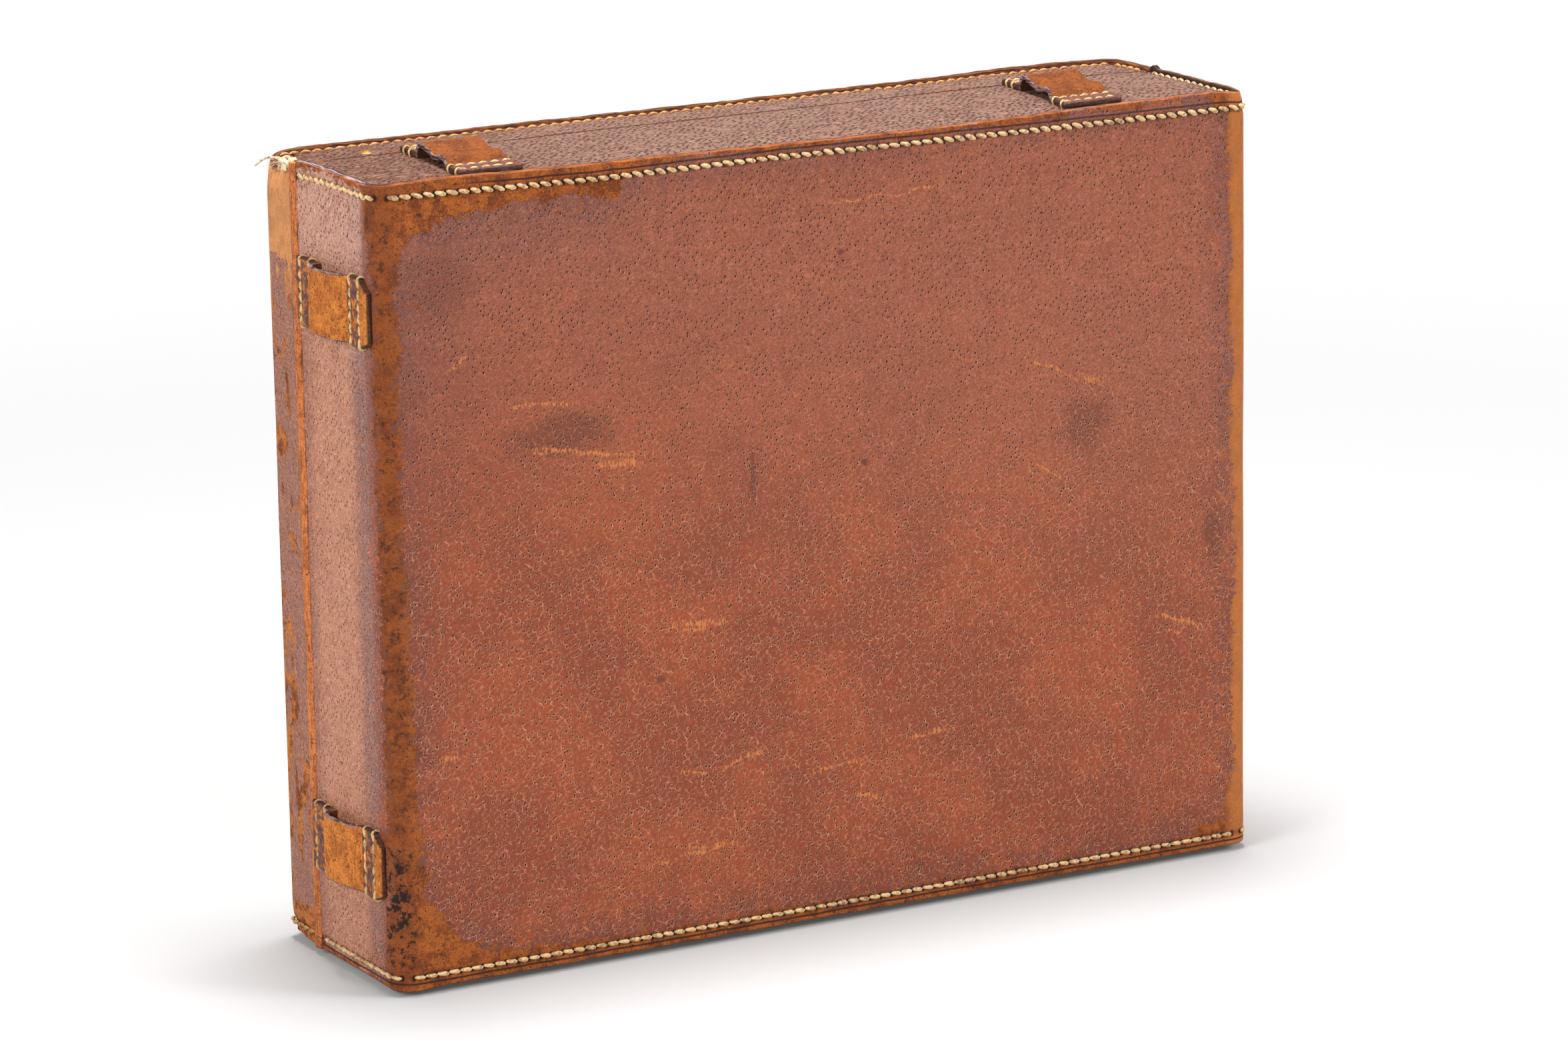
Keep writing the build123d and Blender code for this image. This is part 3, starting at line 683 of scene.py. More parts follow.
def base_hide():
    """Pigskin of the base wrap: rubbed bends and crests, scratches, stains and needle holes, with painted
    sheen and painted shade.
    """
    paint = Paint("base_hide")
    c, s = colours(), sizes()
    place, across, up = paint.leather_run()
    across = across - X_LEFT / MM
    up = up - Z_LOW / MM
    width, height = WIDTH / MM, HEIGHT / MM
    bend_end = (s.bend * (1 - math.pi / 2)) / MM
    share_up = up / height
    share_across = across / width
    left_reach = paint.ramp(share_up, (
        (0.0, 0.9), (0.045, 0.8), (0.115, 0.34), (0.24, 0.26), (0.41, 0.25), (0.58, 0.17),
        (0.77, 0.17), (0.9, 0.22), (0.955, 0.36), (1.0, 0.6),
    )) * 30.0
    top_reach = paint.ramp(share_across, (
        (0.0, 0.62), (0.05, 0.56), (0.08, 0.42), (0.14, 0.35), (0.215, 0.27), (0.222, 0.4),
        (0.262, 0.4), (0.268, 0.12), (0.29, 0.1), (0.33, 0.0), (0.94, 0.0), (1.0, 0.35),
    )) * 24.0
    low_reach = paint.ramp(share_across, (
        (0.0, 1.0), (0.03, 0.95), (0.075, 0.45), (0.12, 0.28), (0.2, 0.16), (0.6, 0.1),
        (0.9, 0.12), (0.96, 0.3), (1.0, 0.55),
    )) * 26.0
    right_reach = paint.ramp(share_up, (
        (0.0, 0.6), (0.05, 0.5), (0.1, 0.38), (0.3, 0.4), (0.35, 0.34), (0.6, 0.38), (1.0, 0.48),
    )) * 20.0
    left_worn = paint.least(across - (bend_end + 1.5), left_reach + 1.0 - across)
    right_worn = paint.least(across - width + right_reach, (width - bend_end + 1.5) - across)
    on_front = paint.fade(across, bend_end - 2, bend_end)
    top_worn = top_reach * on_front + 1.5 - (height - up)
    low_worn = low_reach * on_front + 1.8 - up
    depth = paint.most(left_worn, right_worn, top_worn, low_worn)
    worn = rubbed(paint, place, depth)
    torn = paint.noise(place, 1.3, roughness=0.7, shift=71.0, stretch=(2.2, 0.8, 1.0))
    bent = (paint.noise(place, 11.0, detail=2.0, shift=29.0) - 0.5) * 5.0
    marks = [stroke(paint, across, up + bent, *scratch, torn) for scratch in SCRATCHES]
    scratched = paint.most(*marks)
    crackle = 1 - paint.fade(up, 110.0, 215.0) * 0.75
    pore, glint, crack, dip_shade, ridge_highlight, relief = pigskin(paint, place, crackle)
    clouds = paint.noise(place, 46.0, detail=3.0, shift=2.0)
    mottle = paint.noise(place, 6.0, detail=4.0, roughness=0.6, shift=8.0)
    colour = paint.blend(paint.fade(clouds, 0.42, 0.58), c.hide_deep, c.hide)
    # Painted sheen: a paler, pinker tint that grows towards the upper right, and strengthens the sheen
    # further down.
    upper_sheen = paint.fade(up + across * 0.2, 120.0, 250.0)
    colour = paint.blend(upper_sheen * 0.75, colour, tone(170, 88, 54))
    plum_left = paint.fade(-depth, 34.0, 1.0) * paint.fade(across, 130.0, 30.0)
    plum_top = plum_left * paint.fade(up, 150.0, 225.0)
    colour = paint.blend(plum_top * 0.65, colour, tone(134, 76, 64))
    plum = paint.most(paint.fade(-depth, 14.0, 0.5) * 0.85, plum_left * 0.35)
    colour = paint.blend(plum * paint.fade(mottle, 0.36, 0.56), colour, c.hide_plum)
    side_pale = paint.fade(across, bend_end - 7.0, bend_end - 17.0)
    side_pale = side_pale * paint.fade(across, -57.0, -42.0)
    colour = paint.blend(side_pale * 0.8, colour, tone(218, 142, 100))
    side_plum = paint.fade(across, bend_end - 1.0, bend_end - 4.0) * (1 - side_pale)
    colour = paint.blend(side_plum * paint.fade(mottle, 0.3, 0.55) * 0.75, colour, tone(118, 76, 74))
    on_left = paint.fade(across, bend_end - 1.0, bend_end - 5.0)
    # Painted sheen on the upper part of the hinge side.
    side_top_sheen = on_left * paint.fade(up, 190.0, 240.0)
    # These coats lay painted sheen on the top of the hinge side, a random deeper tone, and painted shade in
    # the dips of the wrinkles.
    colour = paint.coats(
        colour,
        (side_top_sheen * 0.75, tone(226, 168, 146)),
        (paint.fade(mottle, 0.5, 0.64) * 0.3, c.hide_deep),
        (dip_shade * 0.55, tone(104, 40, 24)),
    )
    # Painted sheen: a whitish veil over all the hide, stronger on the ridges of the wrinkles, high up and
    # on the hinge side.
    sheen = paint.blend(upper_sheen, tone(212, 108, 58), tone(222, 152, 126))
    sheen = paint.blend(on_left, sheen, tone(244, 200, 180))
    colour = paint.blend(0.07 + ridge_highlight * (0.16 + upper_sheen * 0.1 + on_left * 0.14), colour, sheen)
    for middle, size, strength in STAINS:
        oval = paint.oval(across, up, middle, size) + (mottle - 0.5) * 1.2
        colour = paint.blend((1 - paint.fade(oval, 0.35, 1.05)) * strength, colour, tone(100, 44, 28))
    colour = paint.coats(
        colour,
        (crack * 0.9, c.hide_pale),
        (glint * 0.4, tone(246, 204, 170)),
        (pore, c.pore),
    )
    suede, fuzz = suede_look(paint, place, c.suede, c.suede_dark)
    bend = paint.fade(across, 9.0, 4.0) * paint.fade(across, bend_end - 2.0, bend_end + 1.0)
    # Painted shade: the suede darkened along the hinge-side bend.
    suede = paint.blend(bend * 0.5, suede, tone(126, 62, 28))
    grime = paint.noise(place, 3.2, detail=5.0, roughness=0.7, shift=90.0)
    low_bend = bend * paint.fade(up, 60.0, 30.0) * paint.fade(up, 4.0, 12.0)
    spots = bend * paint.fade(grime, 0.56, 0.6) * 0.6 + low_bend * paint.fade(grime, 0.5, 0.54) * 0.9
    suede = paint.blend(spots, suede, tone(40, 24, 18))
    lilac = paint.fade(paint.noise(place, 4.5, detail=4.0, roughness=0.7, shift=77.0), 0.55, 0.57)
    lilac = lilac * paint.fade(depth, 3.5, 1.0) * worn * paint.fade(up, height - 10.0, height - 20.0)
    suede = paint.blend(lilac * 0.8, suede, tone(122, 82, 74))
    right_end = paint.fade(across, width - 12.0, width - 6.0)
    suede = paint.blend(right_end * 0.6, suede, tone(226, 138, 72))
    worn = paint.most(worn, scratched * 0.9)
    colour = paint.blend(worn, colour, suede)
    colour = paint.blend(scratched * 0.8, colour, tone(236, 146, 84))
    first_place = SEAM_LINE[0][0]
    length = SEAM_LINE[-1][0] - first_place
    stops = [((spot - first_place) / length, (rise + 2) / 2) for spot, rise in SEAM_LINE]
    seam_top = paint.ramp((across - first_place) / length, stops) * 2 - 2 + (height - s.seam_inset / MM)
    holes, grooves = seam_marks(paint, across, up, seam_top)
    colour = paint.blend(grooves * 0.35, colour, tone(120, 62, 34))
    # Painted shade: the needle holes darkened.
    colour = paint.blend(holes * 0.9, colour, tone(50, 24, 14))
    wander = (paint.noise(place, 12.0, detail=2.0, shift=13.0) - 0.5) * 0.8
    tooled = 1 - paint.fade(abs(up - seam_top - 2.3 + wander), 0.16, 0.42)
    tooled_low = 1 - paint.fade(abs(up - 1.9 + wander), 0.14, 0.45)
    tooled = paint.most(tooled * paint.fade(across, 26.0, 40.0), tooled_low)
    colour = paint.blend(tooled * 0.95, colour, tone(62, 34, 34))
    relief = relief * (1 - worn) + fuzz * worn + (1 - worn) * 0.14 - tooled * 0.25 - holes * 0.3
    crest = crest_mask(paint, up, height)
    end = Tray(False).end / MM - X_LEFT / MM
    layers = paint.noise(place, 1.0, detail=4.0, stretch=(0.12, 2.4, 1.0))
    edge = paint.blend(paint.fade(layers, 0.42, 0.52), tone(66, 36, 28), tone(166, 92, 46))
    purple = paint.most(paint.fade(across, 0.0, -8.0), paint.fade(across, 120.0, 240.0) * 0.6)
    edge = paint.blend(purple * paint.fade(layers, 0.5, 0.56) * 0.8, edge, tone(158, 122, 122))
    on_side = paint.fade(across, 2.0, -3.0)
    raw = paint.blend(paint.fade(layers, 0.46, 0.54), tone(48, 32, 32), tone(176, 156, 160))
    edge = paint.blend(on_side * 0.85, edge, raw)
    torn_end = paint.fade(across, end - 4.5, end - 3.0)
    torn_bend = paint.fade(abs(across - 1.0), 7.0, 3.0) * paint.fade(layers, 0.42, 0.5)
    innermost = paint.fade(up + (layers - 0.5) * 1.5, height + 1.1, height + 1.6)
    inner = paint.most(innermost, torn_end, torn_bend)
    # Painted shade: near black in the crevice at the foot of the crest's inner side, and in the gaps at the
    # torn end and beside the hinge-side bend.
    edge = paint.blend(inner * 0.9, edge, tone(30, 18, 16))
    colour = paint.blend(crest, colour, edge)
    rough = 0.46 + mottle * 0.1 + worn * 0.36 + pore * 0.2 + crest * 0.3
    relief = relief * (1 - crest) + layers * crest * 0.3
    return paint.surface(
        relief, Base_Color=colour, Roughness=rough, Specular_IOR_Level=0.35,
        Coat_Weight=(1 - worn) * 0.12, Coat_Roughness=0.3,
    )


def lid_hide():
    """Pigskin of the lid wrap: greyer beside the fold, rubbed at its bends and crests."""
    paint = Paint("lid_hide")
    c, s = colours(), sizes()
    place, across, up = paint.leather_run()
    across = across - X_LEFT / MM
    up = up - Z_LOW / MM
    width, height = WIDTH / MM, HEIGHT / MM
    bend_end = (s.soft_bend * (1 - math.pi / 2)) / MM
    top_reach = paint.fade(across, 40.0, 0.0) * 30.0
    top_worn = top_reach + 2.0 - (height - up)
    low_worn = 2.5 + paint.fade(across, 30.0, 0.0) * 9.0 - up
    left_worn = paint.least(across - bend_end - 1.0, 7.5 - across)
    right_worn = paint.least(across - width + 5.0, (width + 6.0) - across)
    depth = paint.most(top_worn, low_worn, left_worn, right_worn)
    worn = rubbed(paint, place, depth, ragged=7.0)
    patches = paint.noise(place, 6.0, detail=5.0, shift=33.0, stretch=(1.0, 0.45, 1.0))
    on_side = paint.fade(across, 2.0, -4.0)
    worn = paint.most(worn, paint.fade(patches + on_side * 0.12, 0.67, 0.69))
    pore, glint, crack, dip_shade, ridge_highlight, relief = pigskin(paint, place, 0.8)
    clouds = paint.noise(place, 30.0, detail=3.0, shift=4.0)
    mottle = paint.noise(place, 3.5, detail=4.0, roughness=0.65, shift=18.0)
    colour = paint.blend(paint.fade(clouds, 0.35, 0.68), c.hide_deep, c.hide)
    # Among these coats the dips get painted shade, the ridges painted highlights, and the glints beside the
    # pores are painted highlights too.
    colour = paint.coats(
        colour,
        (on_side * 0.85, tone(164, 106, 86)),
        (paint.fade(mottle, 0.5, 0.6) * 0.5, tone(126, 84, 80)),
        (dip_shade * 0.5, tone(104, 56, 46)),
        (ridge_highlight * 0.4, tone(228, 172, 148)),
        (crack * 0.8, c.hide_pale),
        (glint * 0.6, tone(244, 200, 164)),
        (pore, c.pore),
    )
    suede, fuzz = suede_look(paint, place, tone(214, 130, 62), c.suede_dark)
    dome = paint.fade(up, height - 52.0, height - 30.0) * paint.fade(across, 3.0, -1.0)
    suede = paint.blend(dome * 0.6, suede, tone(250, 178, 118))
    veins = paint.noise(place, 1.0, detail=4.0, shift=61.0, stretch=(1.0, 0.16, 1.0))
    suede = paint.blend(paint.fade(veins, 0.54, 0.64) * on_side * 0.4, suede, tone(150, 80, 40))
    colour = paint.blend(worn, colour, suede)
    sewn = paint.fade(across, 2.0, 6.0)
    holes, grooves = seam_marks(paint, across, up, height - s.seam_inset / MM, sewn)
    colour = paint.blend(grooves * 0.4, colour, tone(110, 58, 34))
    # Painted shade: the needle holes darkened.
    colour = paint.blend(holes * 0.85, colour, tone(60, 30, 18))
    crest = crest_mask(paint, up, height)
    layers = paint.noise(place, 1.0, detail=4.0, stretch=(0.12, 2.4, 1.0))
    edge = paint.blend(paint.fade(layers, 0.42, 0.6), tone(70, 42, 34), tone(160, 92, 50))
    colour = paint.blend(crest, colour, edge)
    relief = relief * (1 - worn) + fuzz * worn + (1 - worn) * 0.14 - holes * 0.3
    rough = 0.48 + mottle * 0.12 + worn * 0.34 + crest * 0.2
    return paint.surface(
        relief, Base_Color=colour, Roughness=rough, Specular_IOR_Level=0.3,
        Coat_Weight=(1 - worn) * 0.08, Coat_Roughness=0.3,
    )


def panel_hide(name, y_edge, edge_sign):
    """Pigskin of an end panel: mauve brown, with painted shade at its rims and along the split, and rubbed
    along the split.
    """
    paint = Paint(name)
    c, s = colours(), sizes()
    place, across, up = paint.leather_run()
    across = across - X_LEFT / MM
    to_split = (y_edge / MM - up) * edge_sign
    pore, _, crack, dip_shade, ridge_highlight, relief = pigskin(paint, place, 0.3, 1.9)
    clouds = paint.noise(place, 24.0, detail=4.0, shift=6.0)
    mottle = paint.noise(place, 4.0, detail=4.0, shift=28.0)
    colour = paint.blend(paint.fade(across, 10.0, 110.0), tone(108, 67, 49), tone(135, 99, 85))
    # These coats paint shade in the dips of the wrinkles and highlights on their ridges.
    colour = paint.coats(
        colour,
        (paint.fade(clouds, 0.44, 0.6) * 0.3, tone(120, 76, 60)),
        (dip_shade * 0.3, tone(86, 48, 36)),
        (ridge_highlight * 0.2, tone(186, 152, 134)),
    )
    # Painted sheen: light streaks drawn out along the panel.
    sheen = paint.noise(place, 1.1, detail=3.0, shift=52.0, stretch=(0.3, 1.5, 1.0))
    colour = paint.coats(
        colour,
        (paint.fade(sheen, 0.5, 0.62) * 0.5, tone(192, 154, 132)),
        (crack * 0.3, c.hide_pale),
        (pore, tone(40, 20, 16)),
    )
    streak = paint.noise(place, 3.0, detail=4.0, shift=2.0, stretch=(0.16, 1.0, 1.0))
    depth = 1.2 + (streak - 0.62) * 14.0 - to_split
    worn = paint.fade(depth, -0.2, 0.3)
    rim = paint.least(across - s.leather / MM, WIDTH / MM - s.leather / MM - across)
    # Painted shade: the panel darkened towards its left and right rims, in the corners beside the crests of
    # the wrap.
    dirt_and_shade = paint.fade(rim + mottle * 2.0, 3.5, 0.8)
    colour = paint.blend(dirt_and_shade * 0.6, colour, tone(70, 40, 34))
    flecks = paint.noise(place, 1.8, detail=3.0, shift=66.0)
    worn = paint.most(worn, paint.fade(flecks, 0.67, 0.69))
    suede, fuzz = suede_look(paint, place, c.suede, c.suede_dark)
    colour = paint.blend(worn, colour, suede)
    # Painted shade: a near black line in the split along the panel's edge.
    edge = paint.fade(to_split, 0.75, 0.3)
    colour = paint.blend(edge * 0.95, colour, tone(30, 18, 15))
    relief = relief * (1 - worn) + fuzz * worn + (1 - worn) * 0.1
    return paint.surface(
        relief, Base_Color=colour, Roughness=0.5 + worn * 0.35 + mottle * 0.08,
        Specular_IOR_Level=0.2, Coat_Weight=0.0,
    )


def fold_hide():
    """The leather fold: rubbed orange with fine dark cracks along its length, and painted shade along its
    edges.
    """
    paint = Paint("fold_hide")
    c = colours()
    low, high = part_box("hinge_fold")
    half = (high.y - low.y) / 2 / MM + 1.0
    place, across, _ = paint.leather_run()
    suede, fuzz = suede_look(paint, place, tone(222, 126, 60), tone(172, 90, 40))
    drawn = paint.noise(place, 1.0, detail=4.0, stretch=(2.6, 0.12, 1.0))
    lines = paint.fade(drawn, 0.56, 0.64)
    wander = (paint.noise(place, 1.0, detail=3.0, stretch=(0.0, 0.1, 1.0)) - 0.5) * 1.2
    rim = paint.fade(abs(across - Y_SPLIT / MM + wander), half - 0.75, half - 0.35)
    colour = paint.blend(lines * 0.55, suede, c.suede_dark)
    # Painted shade along the fold's edges, in the corners beside the walls.
    colour = paint.blend(rim * 0.9, colour, tone(58, 28, 16))
    relief = fuzz * 0.6 - lines * 0.25
    return paint.surface(relief, Base_Color=colour, Roughness=0.8)


def keeper_hide(name, kind, worn_share):
    """Keeper leather: suede arch, plum tabs with rubbed patches and dark polished edges."""
    paint = Paint(name)
    c = colours()
    place, across, up = paint.leather_run()
    solid_place = paint.object_place()
    first, last = KEEPERS[kind][:2]
    arch = paint.fade(across, first - 0.8, first) * paint.fade(across, last - 0.2, last - 1.0)
    pore, *_, relief = pigskin(paint, place, 0.6)
    mottle = paint.noise(solid_place, 2.4, detail=4.0, roughness=0.65, shift=12.0)
    tab = paint.blend(paint.fade(mottle, 0.35, 0.65), tone(86, 50, 44), tone(146, 92, 74))
    light, dark, streaks = tone(236, 142, 62), tone(190, 104, 42), 0.25
    # The keepers on top get darker suede and darker streaks than the others: a shaded copy of the same
    # suede, painted shade against the light from above.
    if kind == "sagging":
        light, dark, streaks = tone(154, 84, 30), tone(120, 60, 22), 0.55
    suede, fuzz = suede_look(paint, solid_place, light, dark)
    drawn = paint.noise(place, 1.0, detail=4.0, shift=5.0, stretch=(0.9, 0.14, 1.0))
    suede = paint.blend(paint.fade(drawn, 0.52, 0.62) * streaks, suede, tone(112, 56, 28))
    patchy = paint.fade(mottle, 0.62 - worn_share * 0.2, 0.68 - worn_share * 0.2)
    worn = paint.most(arch, patchy)
    if kind == "bulging":
        worn = paint.most(worn, paint.fade(across, 4.6, 3.8))
    colour = paint.blend(worn, tab, suede)
    colour = paint.blend(pore * 0.6, colour, c.pore)
    half = KEEPER_WIDTH / 2
    from_top, from_under = abs(up - half), abs(up - 3 * half)
    rim = paint.fade(from_top, half - 0.7, half - 0.3) * paint.fade(from_under, half - 0.4, half)
    underside_shade = paint.fade(from_under, half - 0.1, half - 0.5)
    front = paint.fade(across, 0.35, 0.0)
    layers = paint.noise(solid_place, 1.2, detail=4.0, stretch=(0.25, 0.25, 3.0))
    raw = paint.blend(paint.fade(layers, 0.42, 0.56), tone(64, 42, 40), tone(158, 138, 140))
    raw_tab = paint.blend(paint.fade(layers, 0.4, 0.65), tone(46, 26, 22), tone(98, 66, 56))
    raw = paint.blend(1 - arch, raw, raw_tab)
    colour = paint.blend(paint.most(rim, front) * 0.9, colour, raw)
    # Painted shade on the underside of the strip.
    colour = paint.blend(underside_shade * 0.85, colour, tone(70, 36, 22))
    relief = relief * 0.6 * (1 - worn) + fuzz * worn
    return paint.surface(
        relief, Base_Color=colour, Roughness=0.55 + worn * 0.3 - rim * 0.15, Specular_IOR_Level=0.25,
    )


def thread_look(name, colour):
    """Waxed linen thread: two strands wound round each other, with dark patches that are partly grime and
    partly painted shade between the strands.
    """
    paint = Paint(name)
    place = paint.object_place()
    grime = paint.noise(place, 1.3, detail=3.0)
    fibres = paint.noise(place, 0.22, detail=2.0, shift=7.0)
    slow = paint.noise(place, 22.0, detail=2.0, shift=3.0)
    dark = tone(118, 72, 40)
    # Dark patches and fine dark flecks: partly grime, partly painted shade standing for the hollows between
    # the strands.
    dirt_and_shade = paint.fade(grime, 0.48, 0.62) * 0.6 + paint.fade(slow, 0.5, 0.6) * 0.25
    mixed = paint.coats(colour, (dirt_and_shade, dark), (paint.fade(fibres, 0.5, 0.6) * 0.35, dark))
    return paint.surface(fibres * 0.14 + grime * 0.1, Base_Color=mixed, Roughness=0.6 + grime * 0.2)


def cloth_look():
    """Short napped lining cloth, brushed here and there the other way."""
    paint = Paint("lining_cloth")
    c = colours()
    place = paint.object_place()
    nap = paint.noise(place, 0.5, detail=2.0)
    brushed = paint.noise(place, 16.0, detail=4.0, shift=5.0)
    dark = tuple(channel * 0.45 for channel in c.cloth)
    pale = tuple(min(1.0, channel * 1.7) for channel in c.cloth)
    colour = paint.blend(paint.fade(brushed, 0.3, 0.7), dark, tuple(c.cloth))
    colour = paint.blend(paint.fade(nap, 0.5, 0.8) * 0.5, colour, pale)
    return paint.surface(
        nap * 0.3, Base_Color=colour, Roughness=0.92,
        Sheen_Weight=0.4, Sheen_Roughness=0.5,
    )


def board_look():
    """Pasteboard with pressed fibres and layered edges."""
    paint = Paint("pasteboard")
    c = colours()
    place = paint.object_place()
    fibres = paint.noise(place, 1.2, detail=4.0, stretch=(1.0, 3.0, 0.5))
    specks = paint.noise(place, 0.8, detail=2.0, shift=9.0)
    dark = tuple(channel * 0.5 for channel in c.board)
    colour = paint.blend(paint.fade(fibres, 0.4, 0.75) * 0.6, tuple(c.board), dark)
    colour = paint.blend(paint.fade(specks, 0.68, 0.74) * 0.6, colour, dark)
    return paint.surface(fibres * 0.12, Base_Color=colour, Roughness=0.88)


def brass_look():
    """Old brass: brown in the dips, brighter where fingers rub it, with fine scratches."""
    paint = Paint("old_brass")
    c = colours()
    place = paint.object_place()
    tarnish = paint.noise(place, 3.5, detail=5.0, roughness=0.6)
    fine = paint.noise(place, 0.5, detail=2.0, shift=4.0, stretch=(1.0, 0.2, 2.2))
    colour = paint.blend(paint.fade(tarnish, 0.34, 0.64) * 0.65, tuple(c.brass), tone(92, 62, 38))
    rough = 0.5 + tarnish * 0.3 + fine * 0.08
    return paint.surface(fine * 0.02, Base_Color=colour, Roughness=rough, Metallic=1.0)


def steel_look():
    """Plain spring wire, a little stained."""
    paint = Paint("spring_wire")
    place = paint.object_place()
    stain = paint.noise(place, 0.9, detail=3.0)
    colour = paint.blend(paint.fade(stain, 0.5, 0.8), tuple(colours().steel), tone(96, 84, 72))
    return paint.surface(stain * 0.02, Base_Color=colour, Roughness=0.35 + stain * 0.2, Metallic=1.0)


# Walls


def tray_wall(run, y_face, facing, left_bend, right_bend):
    """Places and outward directions on a tray's outer wall, for distances run along it.

    On the big face run is x. Past a bend it goes on round the quarter circle and then straight
    along the narrow side, away from the face.
    """
    left = (X_LEFT + left_bend) - run
    right = run - (X_RIGHT - right_bend)
    to_left = left > right
    past = np.maximum(np.maximum(left, right), 0)
    radius = np.where(to_left, left_bend, right_bend)
    side = np.where(to_left, -1.0, 1.0)
    turn = np.minimum(past / radius, np.pi / 2)
    straight = np.maximum(past - radius * np.pi / 2, 0)
    corner = np.where(to_left, X_LEFT + left_bend, X_RIGHT - right_bend)
    x = np.where(past > 0, corner, run) + side * radius * np.sin(turn)
    y = y_face - facing * (radius * (1 - np.cos(turn)) + straight)
    out_x = np.where(past > 0, side * np.sin(turn), 0.0)
    out_y = facing * np.cos(turn)
    return np.stack([x, y], -1), np.stack([out_x, out_y], -1)


def side_end(depth, bend, left):
    """Distance run at which the wall is a depth away from the big face, on one narrow side."""
    past = bend * math.pi / 2 + depth - bend
    return X_LEFT + bend - past if left else X_RIGHT - bend + past


# How far the front crest stands above a straight line, in mm, at places from the hinge face
CREST_LINE = (
    (0, 1.0), (11, 1.3), (28, 1.6), (51, 0.9), (86, 0.5), (130, 0.2), (200, -0.3), (235, 0.3),
    (260, 0.9), (300, 1.2), (317, 0.8),
)

# How far the seam below it comes nearer to that crest, in mm, at distances run from the hinge face
SEAM_LINE = (
    (-66, -1.0), (-18, -0.1), (0, -0.05), (11, -0.4), (28, -0.95), (51, -0.75), (75, -0.85),
    (115, -0.3), (140, -0.05), (200, -0.1), (235, -0.9), (260, -1.6), (300, -1.95), (317, -1.4),
    (326, -0.9), (380, -0.9),
)


def raised(x, y):
    """How far the worn top has bulged upwards, in mm: in the middle, and along three crests."""
    share = np.clip((y - Y_FRONT) / (Y_BACK - Y_FRONT), 0, 1)
    middle = (0.75 + 0.5 * (x - X_LEFT) / WIDTH) * np.sin(np.pi * share)
    middle = middle * (1 - 0.85 * ebb(X_RIGHT - x, 22 * MM) ** 2)
    back = ebb(Y_BACK - y, 14 * MM) ** 2 * bell((x - X_RIGHT) / MM + 38, 30.0)
    front = ebb(y - Y_FRONT, 16 * MM) ** 2
    left = ebb(x - X_LEFT, 14 * MM) ** 2 * np.clip((Y_SPLIT - y) / (8 * MM), 0, 1)
    crest = np.interp((x - X_LEFT) / MM, *np.transpose(CREST_LINE))
    return middle + 0.9 * back + front * crest + 0.6 * left * (1 - front)


def seam_rise(run):
    """How much nearer to the crest the base's top seam runs than its inset, in mm."""
    return np.interp((run - X_LEFT) / MM, *np.transpose(SEAM_LINE))


class Tray:
    """Half of the case: its big face, which way it faces, and how far its walls run."""

    def __init__(self, lid):
        s = sizes()
        self.lid = lid
        self.face = Y_BACK if lid else Y_FRONT
        self.facing = 1.0 if lid else -1.0
        self.left_bend = s.soft_bend if lid else s.bend
        self.right_bend = s.bend
        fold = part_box("hinge_fold")
        left_edge = fold[1].y + 0.3 * MM if lid else fold[0].y
        right_edge = Y_LID if lid else Y_BASE
        self.start = side_end(abs(self.face - left_edge), self.left_bend, True)
        self.end = side_end(abs(self.face - right_edge), self.right_bend, False)

    def wall(self, run):
        """Places and outward directions for distances run along the wall."""
        return tray_wall(run, self.face, self.facing, self.left_bend, self.right_bend)

    def stitches(self, top):
        """Distances run of a seam's stitches: a pitch apart, without those on the sharp bends.

        The lid's top seam has come undone beside the fold.
        """
        s = sizes()
        first = s.first_stitch + (0.0 if top else LOWER_SEAM_SHIFT * MM)
        low = math.ceil((self.start + 1.6 * MM - X_LEFT - first) / s.pitch)
        high = math.floor((self.end - 2.4 * MM - X_LEFT - first) / s.pitch)
        places = X_LEFT + first + s.pitch * np.arange(low, high + 1)
        left_gap = np.abs(places - (X_LEFT + first - s.pitch)) < s.pitch / 2
        right = X_RIGHT - first
        right_gap = (np.abs(places - right) < s.pitch * 0.8) & (places > right)
        undone = (places < X_LEFT + 5 * MM) & self.lid & top
        return places[~(left_gap | right_gap | undone)]


# Outline of a crest, in mm: out from the wall and down from its top
CREST = (
    (-0.02, 0.5), (-0.09, 0.24), (-0.28, 0.07), (-0.6, 0.0), (-1.2, 0.04), (-1.8, 0.0),
    (-2.15, 0.07), (-2.34, 0.24), (-2.4, 0.5), (-2.4, 1.3), (-2.4, 4.0),
)


def wall_rows():
    """Heights above a crest at which the outer face has points, closest at the seam."""
    close = [0.75, 1.0, 1.3, 1.6, 1.9, 2.2, 2.6, 3.0, 3.4, 3.7, 4.0, 4.3, 4.6, 4.9, 5.2, 5.5, 5.8, 6.2]
    return np.array(close + [6.7, 7.4, 9.0, 12.0, 16.0]) * MM


